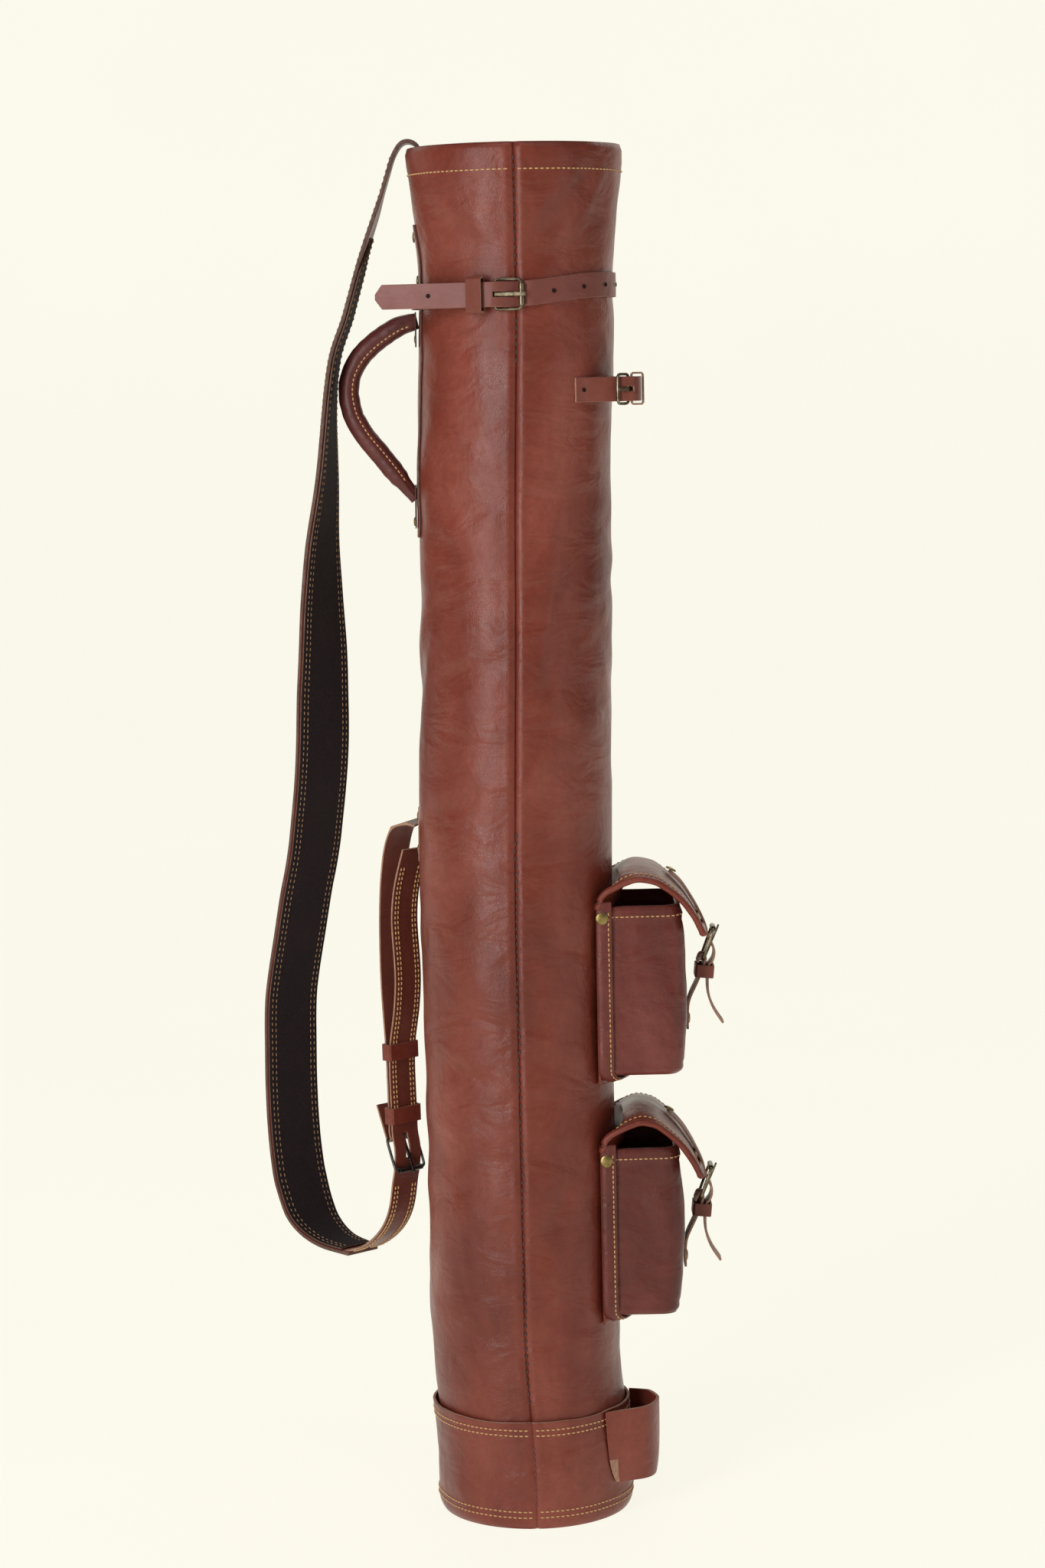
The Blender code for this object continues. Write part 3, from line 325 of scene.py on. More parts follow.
# Browner and darker from the keeper to the buckle and on: the band's own tone, with painted shade near the
# buckle.
PINK = leather("band_leather", (0.135, 0.042, 0.036), (0.192, 0.064, 0.056), (0.255, 0.092, 0.084),
               (-0.030, -0.012, (0.165, 0.040, 0.025)), 0.40, 0.56, 0.7, 0.06)
TAIL = leather("tongue_leather", (0.120, 0.036, 0.028), (0.185, 0.058, 0.046), (0.260, 0.095, 0.080),
               None, 0.42, 0.58, 0.7)
EDGE = raw_edge("raw_edge", (0.24, 0.120, 0.078), (0.50, 0.30, 0.20))
WORN = raw_edge("worn_edge", (0.060, 0.030, 0.023), (0.210, 0.118, 0.088))
SUEDE = suede("lining_suede", (0.0095, 0.0048, 0.0060), (0.033, 0.0175, 0.0210))
GOLD = thread("gold_thread", (0.40, 0.20, 0.070), (0.70, 0.42, 0.18))
BRONZE = thread("bronze_thread", (0.170, 0.085, 0.035), (0.400, 0.240, 0.115))
DARK = thread("dark_thread", (0.030, 0.010, 0.009), (0.080, 0.026, 0.020))
RUST = thread("rust_thread", (0.090, 0.022, 0.014), (0.200, 0.060, 0.035))
BRASS = metal("aged_brass", (0.060, 0.048, 0.030), (0.27, 0.225, 0.150), 0.24, 0.44)
RIVET = metal("rivet_brass", (0.150, 0.100, 0.035), (0.34, 0.25, 0.10), 0.30, 0.50)
GUNMETAL = metal("gunmetal", (0.030, 0.028, 0.027), (0.15, 0.142, 0.135), 0.22, 0.42)
BOARD = board("pressed_board")
# Painted shade: near-black colours for the punched holes and their lips, standing in for the shadow inside
# each hole.
HOLE_SHADE = suede("punched_hole_shade", (0.008, 0.004, 0.003), (0.030, 0.014, 0.010))


# ---- Piece makers ----------------------------------------------------------------------------
def finish_piece(name, bm, materials, body, replaces=(), bevel=0.0, levels=0, slot=None, angle=40):
    """Put a finished bmesh in the scene, riding on its body."""
    bmesh.ops.recalc_face_normals(bm, faces=bm.faces)
    mesh = bpy.data.meshes.new(name)
    bm.to_mesh(mesh)
    bm.free()
    for m in materials:
        mesh.materials.append(m)
    mesh.shade_smooth()
    obj = bpy.data.objects.new(name, mesh)
    bpy.context.scene.collection.objects.link(obj)
    if bevel:
        mod = obj.modifiers.new("rounded", "BEVEL")
        mod.width, mod.segments, mod.limit_method = bevel, 2, "ANGLE"
        mod.angle_limit = math.radians(angle)
    if levels:
        mod = obj.modifiers.new("smooth", "SUBSURF")
        mod.levels = mod.render_levels = levels
    apply_modifiers(obj)
    if isinstance(body, str):
        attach(obj, body)
    else:
        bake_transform(obj)
    if replaces:
        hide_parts(*replaces)
    return obj


def apply_modifiers(obj):
    if not obj.modifiers:
        return
    bpy.context.view_layer.update()
    final = bpy.data.meshes.new_from_object(obj.evaluated_get(bpy.context.evaluated_depsgraph_get()))
    final.name = obj.data.name
    obj.modifiers.clear()
    obj.data = final
    final.shade_smooth()


def sheet(name, grid, thickness, materials, body, closed=False, **options):
    """Sheet of even thickness about a grid of middle points; its cut edges take the second material."""
    rows, columns = len(grid), len(grid[0])

    def normal(i, j):
        after = (i + 1) % rows if closed else min(i + 1, rows - 1)
        before = (i - 1) % rows if closed else max(i - 1, 0)
        along = grid[after][j] - grid[before][j]
        across = grid[i][min(j + 1, columns - 1)] - grid[i][max(j - 1, 0)]
        return along.cross(across).normalized()

    bm = bmesh.new()
    layers = []
    for side in (1, -1):
        layers.append([[bm.verts.new(grid[i][j] + normal(i, j) * (side * thickness / 2))
                        for j in range(columns)] for i in range(rows)])
    top, under = layers
    last = rows if closed else rows - 1
    for i in range(last):
        k = (i + 1) % rows
        for j in range(columns - 1):
            bm.faces.new([top[i][j], top[k][j], top[k][j + 1], top[i][j + 1]])
            bm.faces.new([under[i][j], under[i][j + 1], under[k][j + 1], under[k][j]])
    rim = []
    for i in range(last):
        k = (i + 1) % rows
        for j in (0, columns - 1):
            rim.append(bm.faces.new([top[i][j], top[k][j], under[k][j], under[i][j]]))
    if not closed:
        for i in (0, rows - 1):
            for j in range(columns - 1):
                rim.append(bm.faces.new([top[i][j], top[i][j + 1], under[i][j + 1], under[i][j]]))
    if len(materials) > 1:
        for face in rim:
            face.material_index = 1
    return finish_piece(name, bm, materials, body, **options)


def softened(node, materials, bevel=0.00035, levels=2, ruffle=0.0, edge_below=0.0021, shift=(0, 0, 0),
             swell=None, body=None):
    """Round-edged piece with the shape of a CAD node, which it replaces."""
    bm = bmesh.new()
    bm.from_mesh(nodes[node].data)
    bmesh.ops.remove_doubles(bm, verts=bm.verts, dist=2e-6)
    bmesh.ops.join_triangles(bm, faces=bm.faces, angle_face_threshold=0.5, angle_shape_threshold=1.2)
    for face in bm.faces:
        lengths = sorted(e.calc_length() for e in face.edges)
        face.material_index = 1 if len(materials) > 1 and lengths[0] < edge_below else 0
    if swell:
        middle = sum((v.co for v in bm.verts), Vector()) / len(bm.verts)
        for v in bm.verts:
            v.co = middle + Vector(a * b for a, b in zip(v.co - middle, swell))
    bmesh.ops.translate(bm, verts=bm.verts, vec=Vector(shift))
    if ruffle:
        for v in bm.verts:
            v.co.x += ruffle * soft(*v.co, 0.012, 2.0)
            v.co.y += ruffle * soft(*v.co, 0.012, 6.0)
    return finish_piece(node + "_fine", bm, materials, body or home[node], [node], bevel, levels, angle=34)


def rivet(name, foot, out, body, size=0.0040, replaces=()):
    """Domed cap in a shallow dish, with its rolled rim."""
    foot, out = Vector(foot), Vector(out).normalized()
    first = out.orthogonal().normalized()
    second = out.cross(first)
    bm = bmesh.new()
    rings = []
    for r, h in ((1.0, 0.0), (1.03, 0.10), (1.0, 0.22), (0.93, 0.30),
                 (0.80, 0.36), (0.60, 0.42), (0.35, 0.46), (0.12, 0.48)):
        rings.append([bm.verts.new(foot + out * (h * size * 0.85) + size * r *
                                   (first * math.cos(t) + second * math.sin(t)))
                      for t in (2 * math.pi * k / 24 for k in range(24))])
    for a, b in zip(rings, rings[1:]):
        for k in range(24):
            bm.faces.new([a[k], a[(k + 1) % 24], b[(k + 1) % 24], b[k]])
    bm.faces.new(rings[0])
    bm.faces.new(rings[-1])
    return finish_piece(name, bm, [RIVET], body, replaces, slot="old_brass")


def punched(name, foot, out, body, size=0.0011):
    """Punched hole with its pressed lip, all in near-black painted shade standing in for the shadow inside
    the hole.
    """
    foot, out = Vector(foot), Vector(out).normalized()
    first = out.orthogonal().normalized()
    second = out.cross(first)
    bm = bmesh.new()
    rings = []
    for r, h in ((1.25, -0.2), (1.2, 0.12), (1.0, 0.14), (0.92, -0.1), (0.5, -0.16)):
        rings.append([bm.verts.new(foot + out * (h * size) + size * r *
                                   (first * math.cos(t) + second * math.sin(t)))
                      for t in (2 * math.pi * k / 16 for k in range(16))])
    for a, b in zip(rings, rings[1:]):
        for k in range(16):
            bm.faces.new([a[k], a[(k + 1) % 16], b[(k + 1) % 16], b[k]])
    bm.faces.new(rings[0])
    bm.faces.new(rings[-1])
    return finish_piece(name, bm, [HOLE_SHADE], body)


def surface(*objs):
    """Search tree of finished pieces, to lay stitches on."""
    verts, faces = [], []
    for obj in objs:
        start = len(verts)
        verts += [v.co.copy() for v in obj.data.vertices]
        faces += [[start + i for i in p.vertices] for p in obj.data.polygons]
    return BVHTree.FromPolygons(verts, faces)


def stitches(name, rows, tree, material, body, pitch=0.0034, share=0.72, size=STITCH, sink=0.15, side=None):
    """Rows of thread stitches laid along paths on a surface; side points outwards where faces are close."""
    bm = bmesh.new()
    for path in rows:
        lengths = [0.0]
        for a, b in zip(path, path[1:]):
            lengths.append(lengths[-1] + (b - a).length)
        count = max(1, int(lengths[-1] / pitch))

        def at(distance):
            for k in range(1, len(path)):
                if distance <= lengths[k] or k == len(path) - 1:
                    span = max(1e-9, lengths[k] - lengths[k - 1])
                    return path[k - 1].lerp(path[k], (distance - lengths[k - 1]) / span)

        for s in range(count):
            start = (s + (1 - share) / 2) * pitch
            ends = [at(start), at(start + share * pitch)]
            spots = []
            for p in ends:
                out = side(p) if side else None
                hit = tree.ray_cast(p + out * 0.006, -out, 0.012) if out else tree.find_nearest(p)
                if hit[0] is None:
                    break
                spots.append((hit[0], out or hit[1]))
            if len(spots) < 2:
                continue
            (p, n), (q, m) = spots
            along = q - p
            if along.length < 0.2 * pitch or along.length > 2 * pitch:
                continue
            up = (n + m).normalized()
            sideways = along.cross(up).normalized()
            rings = []
            for t, scale, lift in ((0.0, 0.45, -0.55), (0.18, 0.9, 0.1), (0.5, 1.0, 0.45), (0.82, 0.9, 0.1),
                                   (1.0, 0.45, -0.55)):
                middle = p + along * t + up * (size * (lift - sink + 0.35))
                rings.append([bm.verts.new(middle + size * scale *
                                           (sideways * math.cos(a) + up * math.sin(a)))
                              for a in (math.pi * 2 * k / 7 for k in range(7))])
            for a, b in zip(rings, rings[1:]):
                for k in range(7):
                    bm.faces.new([a[k], a[(k + 1) % 7], b[(k + 1) % 7], b[k]])
            bm.faces.new(rings[0])
            bm.faces.new(rings[-1])
    return finish_piece(name, bm, [material], body)


# ---- Tube ------------------------------------------------------------------------------------
def arc(z, low, high, step=2.0):
    count = max(2, round((high - low) / step))
    return [on_tube(low + (high - low) * k / count, z, 0.0) for k in range(count + 1)]


def outwards(p):
    return Vector((p.x - bow(p.z), p.y, 0)).normalized()


def make_tube():
    panels = []
    for side, turn in (("right", 0.0), ("left", 180.0)):
        grid = []
        for i in range(119):
            a = -89.75 + 179.5 * i / 118
            a += 0.9 * math.sin(math.radians(2 * a))
            near = (89.75 - abs(a)) / 1.5
            row = []
            for j in range(236):
                z = 0.0006 + (HEIGHT - 0.0006) * (j / 235)
                lip = 0.0013 * max(0.0, 1 - (HEIGHT - z) / 0.0022) ** 2
                puff = 0.00055 * math.exp(-((near - 2.6) / 1.5) ** 2) * (1 if side == "right" else 0.6)
                dip = 0.0019 * math.exp(-near * near) - puff
                face = max(-DENT_DEPTH - 0.0004, sag(a + turn, z) - dip)
                row.append(on_tube(a + turn, z, face - LEATHER / 2 - lip))
            grid.append(row)
        panels.append(sheet("panel_" + side, grid, LEATHER, [BROWN], "bag",
                            replaces=["body_panel_" + side], slot="brown_leather"))
    tree = surface(*panels)
    stitches("hem_stitches", [arc(HEM_Z, -88.6, 88.6), arc(HEM_Z, 91.4, 268.6)], tree, GOLD, "bag", 0.0036)
    seams = []
    for a in (-90.0, 90.0):
        for low, high in ((0.812, 0.886), (0.752, 0.785), (0.082, 0.46)):
            seams.append([on_tube(a, low + (high - low) * k / 60, -0.0010) for k in range(61)])
    stitches("seam_stitches", seams, tree, DARK, "bag", 0.0050, 0.66, 0.00066, 0.3)

    facing = []
    for i in range(120):
        a = 3.0 * i
        facing.append([on_tube(a, z, -0.0037 - 0.0011 * max(0.0, 1 - (HEIGHT - 0.0006 - z) / 0.002) ** 2
                               + 0.0002 * soft(math.cos(a), math.sin(a), z * 40, 0.3))
                       for z in (0.8660 + 0.0224 * k / 12 for k in range(13))])
    sheet("mouth_facing", facing, 0.0020, [BROWN], "bag", closed=True, replaces=["rim_facing"],
          slot="brown_leather", bevel=0.0004)

    cuffs = []
    for side, turn in (("right", 0.0), ("left", 180.0)):
        grid = []
        for i in range(119):
            a = -89.75 + 179.5 * i / 118
            near = (89.75 - abs(a)) / 1.3
            spot = on_tube(a + turn, 0.03, 0)
            top = CUFF_TOP + 0.0007 * soft(spot.x, spot.y, 0.0, 0.02, 4.0)
            row = []
            for j in range(61):
                z = top * (j / 60)
                foot = 0.0026 * max(0.0, 1 - z / 0.007) ** 2
                flare = 0.0005 * ease(top - 0.006, top, z)
                dent = 0.0010 * soft(spot.x, spot.y, z * 0.8, 0.030, 9.0) - 0.0002
                dent = min(0.0004, dent) + 0.00035 * soft(spot.x, spot.y, z, 0.010, 1.0)
                dip = 0.0011 * math.exp(-near * near)
                row.append(on_tube(a + turn, z, 0.0014 + flare + dent * ease(0, 0.01, z) - foot - dip))
            grid.append(row)
        cuffs.append(sheet("cuff_" + side, grid, 0.0019, [BROWN, EDGE], "bag", bevel=0.0003,
                           replaces=["base_cuff_" + side], slot="brown_leather"))
    tree = surface(*cuffs)
    rows = []
    for z in (CUFF_TOP - 0.0052, CUFF_TOP - 0.0088, 0.0118, 0.0080):
        for low in (-88.4, 91.6):
            rows.append(arc(z, low, low + 176.8))
    stitches("cuff_stitches", rows, tree, GOLD, "bag", 0.0033, side=outwards)
    rows = [[on_tube(a, 0.014 + 0.046 * k / 20, 0.0015) for k in range(21)] for a in (-90.0, 90.0)]
    stitches("cuff_seam_stitches", rows, tree, RUST, "bag", 0.0042, 0.66, 0.0005)
    for node, m in (("stiffener_tube", BOARD), ("base_disc", BROWN)):
        nodes[node].data.materials[0] = m


# ---- Ball pockets ----------------------------------------------------------------------------
def outline(front, half, corner, z, seat, count=25):
    """Front outline of a pouch at a height, from one back edge round to the other."""
    points = []
    back = tube_x(half, z, seat)
    for k in range(count):
        points.append(Vector((back + (front - corner - back) * k / count, -half)))
    for k in range(13):
        t = math.radians(-90 + 7.5 * k)
        points.append(Vector((front - corner + corner * math.cos(t), -half + corner + corner * math.sin(t))))
    for k in range(1, count):
        points.append(Vector((front, (-half + corner) * (1 - 2 * k / count))))
    for k in range(13):
        t = math.radians(7.5 * k)
        points.append(Vector((front - corner + corner * math.cos(t), half - corner + corner * math.sin(t))))
    for k in range(count):
        points.append(Vector((front - corner + (back - front + corner) * (k + 1) / count, half)))
    return points


def make_pocket(name, drop, reach):
    bottom, top, front = POCKET_BOTTOM - drop, POCKET_TOP - drop, POCKET_FRONT + reach
    height = top - bottom
    seat = 0.0036

    def ring(z, inset, level):
        h = min(1.0, max(0.0, (level - bottom) / height))
        bulge = (0.0002 - 0.0034 * (1 - h / 0.55) ** 2 if h < 0.55
                 else 0.0002 - 0.0044 * ((h - 0.55) / 0.45) ** 2)
        found = []
        pinch = 0.0012 * ease(0.5, 1.0, h)
        for p in outline(front + bulge - inset, POCKET_HALF - 0.0004 - pinch - inset,
                         0.011 - inset * 0.5, z, seat):
            free = ease(0.058, 0.075, p.x)
            rest = 1 - ease(top - 0.012, top - 0.007, level)
            sway = (0.0013 * soft(p.x, p.y * 0.8, z, 0.034, 7 + drop * 9)
                    + 0.0005 * soft(p.x, p.y, z, 0.011, 3))
            crown = 0.0014 * (1 - (p.y / POCKET_HALF) ** 2) * free * math.sin(math.pi * h)
            pleats = (0.00030 * math.sin(p.x * 2600) * (1 - ease(0.060, 0.076, p.x))
                      * ease(top - 0.012, top - 0.006, level))
            push = (sway * (0.3 + 0.7 * rest) - 0.0006) * free + pleats
            away = Vector((p.x - 0.078, p.y * 0.55))
            away = away.normalized() if away.length > 1e-6 else Vector((1, 0))
            q = p + away * (push if inset < 0.003 else 0.0) + Vector((crown * 0.4, 0))
            found.append(Vector((min(q.x, front + 0.0002), q.y, z)))
        return found

    rows = []
    for inset in (0.030, 0.020, 0.012, 0.007):
        rows.append(ring(bottom, inset, bottom))
    for k in range(1, 7):
        t = math.radians(15 * k)
        rows.append(ring(bottom + 0.0045 * (1 - math.cos(t)), 0.0045 * (1 - math.sin(t)), bottom + 0.004))
    for k in range(1, 44):
        z = bottom + 0.0045 + (height - 0.0052) * k / 43
        hem = (-0.0009 * ease(top - 0.0092, top - 0.0084, z)
               + 0.0008 * math.exp(-((z - top + 0.0094) / 0.0008) ** 2))
        welt = (0.0006 * math.exp(-((z - bottom - 0.0075) / 0.0009) ** 2)
                - 0.0005 * ease(0.0070, 0.0050, z - bottom))
        rows.append(ring(z, hem + welt, z))
    rows.append(ring(top, 0.0002, top))
    rows.append(ring(top, 0.0013, top))
    rows.append(ring(top - 0.0007, 0.0020, top))
    for k in range(1, 9):
        z = top - (height - 0.0050) * k / 8
        rows.append(ring(z, 0.0021, z))
    for inset in (0.006, 0.012, 0.020, 0.030):
        rows.append(ring(bottom + 0.0046, inset, bottom))
    bm = bmesh.new()
    made = [[bm.verts.new(p) for p in row] for row in rows]
    for a, b in zip(made, made[1:]):
        for k in range(len(a) - 1):
            bm.faces.new([a[k], a[k + 1], b[k + 1], b[k]])
    pouch = finish_piece(name + "_pouch", bm, [POUCH], "bag", [name + "_pocket_pouch"], slot="brown_leather")
    tree = surface(pouch)
    hem = [Vector((p.x, p.y, top - 0.0068)) for p in ring(top - 0.0068, 0.0, top - 0.0068)[2:-2]]
    stitches(name + "_hem_stitches", [hem], tree, GOLD, "bag", 0.0033)

    side = POCKET_HALF + 0.0016
    low = bottom - 0.0024
    path = [(-side, top + 0.0035), (-side, top - 0.020), (-side, top - 0.045), (-side, top - 0.070),
            (-side, top - 0.090), (-side, low + 0.014), (-side + 0.0014, low + 0.0050),
            (-side + 0.0070, low - 0.0004), (-0.026, low - 0.0008), (-0.013, low - 0.0008),
            (0.0, low - 0.0008)]
    path = smooth([(y, z, 0) for y, z in path], 0.0022)
    path += [Vector((-p.x, p.y, 0)) for p in path[-2::-1]]
    grid, middle = [], []
    for i, p in enumerate(path):
        before, after = path[max(i - 1, 0)], path[min(i + 1, len(path) - 1)]
        away = Vector((0, after.y - before.y, -(after.x - before.x))).normalized() * -1
        away = Vector((0, -away.y, -away.z)) if away.dot(Vector((0, p.x, p.y - top))) < 0 else away
        start = tube_x(min(abs(p.x), POCKET_HALF), p.y, 0.0030)
        row = []
        for m in range(9):
            u = m / 8
            puff = 0.0013 * math.sin(math.pi * min(1.0, u * 1.45)) if u < 0.69 else -0.0002
            row.append(Vector((start + 0.0098 * u, p.x, p.y)) + away * (puff - 0.0004))
        grid.append(row)
        middle.append(row[6].lerp(row[7], 0.3) + away * 0.0010)
    binding = sheet(name + "_binding", grid, 0.0015, [POUCH], "bag", bevel=0.0005,
                    replaces=[name + "_pocket_binding"], slot="strap_leather")
    stitches(name + "_binding_stitches", [middle[3:]], surface(binding), GOLD, "bag", 0.0033)
    softened(name + "_pocket_back", [BROWN], 0.0005, 1)

    def place(x, z):
        return Vector((x + reach * ease(FLAP_FOLD, 0.099, x), z - drop))

    def cover_row(x, z, columns, lift=0.0):
        crown = FLAP_CROWN * ease(0.048, 0.072, x) * (1 - ease(0.080, 0.1145, x)) * ease(0.040, 0.066, x)
        flat = place(x, z)
        row = []
        for y in columns:
            u = y / FLAP_HALF
            start = tube_x(min(abs(y), 0.0405), top, 0.0034) + 0.0012
            back = max(0.0, start - tube_x(0.0405, top, 0.0034) - 0.0012) * (1 - ease(0.052, FLAP_FOLD, x))
            sway = 0.0009 * soft(x, y, z, 0.022, 4.0 + drop * 20) * (1 - u ** 4)
            curl = -0.0007 * max(0.0, abs(u) - 0.84) / 0.16
            row.append(Vector((flat.x + back + lift * 0.3, y,
                               flat.y + crown * (1 - u * u) + sway + curl + lift)))
        return row

    start = tube_x(0.0405, top, 0.0034) + 0.0010
    line = smooth([(start - 0.0002, 0.4035, 0), (start + 0.0008, 0.4088, 0), (start + 0.0048, 0.4140, 0),
                   (0.0600, 0.4180, 0), (0.0660, 0.4206, 0), (0.0734, 0.4226, 0), (0.0820, 0.4214, 0),
                   (0.0890, 0.4185, 0), (0.1010, 0.4090, 0), (0.1095, 0.3975, 0),
                   (0.1150, 0.3862, 0)], 0.0020)
    columns = [FLAP_HALF * k / 24 for k in range(-24, 25)]
    count = len(line)
    pulls = [1 - 0.03 * ease(count - 7, count - 1, i) for i in range(count)]
    grid = [cover_row(p.x, p.y, [c * pull for c in columns]) for p, pull in zip(line, pulls)]
    leaf = name + "_flap_leaf"
    joined = ("bag", leaf, (FLAP_FOLD - 0.0045, 0, 0.4185 - drop), (FLAP_FOLD + 0.0075, 0, 0.4220 - drop))
    flap = sheet(name + "_flap_cover", grid, 0.0022, [BROWN, STRAP], joined, bevel=0.0006,
                 replaces=[name + "_flap", name + "_flap_yoke"], slot="brown_leather")
    inside = FLAP_HALF - 0.0052
    rows = [[cover_row(p.x, p.y, [s * inside], 0.0013)[0] for p in line[4:-3]] for s in (-1, 1)]
    end = line[-4]
    rows.append(cover_row(end.x, end.y, [inside * k / 20 for k in range(-20, 21)], 0.0012))
    stitches(name + "_flap_stitches", rows, surface(flap), GOLD, joined, 0.0033)
    rim = [row[0] for row in grid] + [p for p in grid[-1][1:]] + [row[-1] for row in grid[-2::-1]]
    rim = smooth([p for p in rim[::2]], 0.0016)
    bm = bmesh.new()
    rings = []
    for i, p in enumerate(rim):
        along = (rim[min(i + 1, len(rim) - 1)] - rim[max(i - 1, 0)]).normalized()
        first = along.cross(Vector((0.3, 0, 1))).normalized()
        second = along.cross(first)
        size = 0.00215 + 0.00022 * soft(*p, 0.008, 3.3)
        rings.append([bm.verts.new(p - Vector((0, math.copysign(0.0009, p.y), 0))
                                   + size * (first * math.cos(t) * 1.25 + second * math.sin(t)))
                      for t in (2 * math.pi * k / 14 for k in range(14))])
    for one, two in zip(rings, rings[1:]):
        for k in range(14):
            bm.faces.new([one[k], one[(k + 1) % 14], two[(k + 1) % 14], two[k]])
    bm.faces.new(rings[0])
    bm.faces.new(rings[-1])
    finish_piece(name + "_flap_binding", bm, [BROWN], joined, slot="brown_leather")
    for s in (-1, 1):
        tack = [cover_row(line[5].x + k * 0.0007 - 0.0014, line[5].y, [s * (FLAP_HALF + 0.0006)])[0]
                for k in range(5)]
        stitches(f"{name}_tack_{'far' if s > 0 else 'near'}", [tack], surface(flap), GOLD, "bag",
                 0.0028, 0.9, 0.0006)

    softened(name + "_flap_tongue", [TAIL, EDGE], 0.0003, 2)
    softened(name + "_chape", [STRAP, EDGE], 0.0003, 2)
    softened(name + "_keeper", [STRAP, EDGE], 0.0002, 2, edge_below=0.0014)
    for part in ("frame", "roller", "prong"):
        softened(f"{name}_buckle_{part}", [BRASS], 0.00018, 2)
    for where, s in (("near", -1), ("far", 1)):
        foot = POCKET_HALF + 0.0003 + 0.0018 + 0.0002
        rivet(f"{name}_rivet_{where}", (0.0500, s * foot, 0.3970 - drop), (0, s, 0), "bag", 0.0041,
              [f"{name}_pocket_rivet_{where}"])
    spot = place(0.0965, 0.4216)
    rivet(name + "_tongue_rivet", (spot.x, 0, spot.y + 0.0002), (0.45, 0, 0.9), leaf, 0.0036)
    rivet(name + "_chape_rivet", (POCKET_FRONT + reach + 0.0018, 0, 0.3235 - drop), (1, 0, 0), "bag", 0.0036)


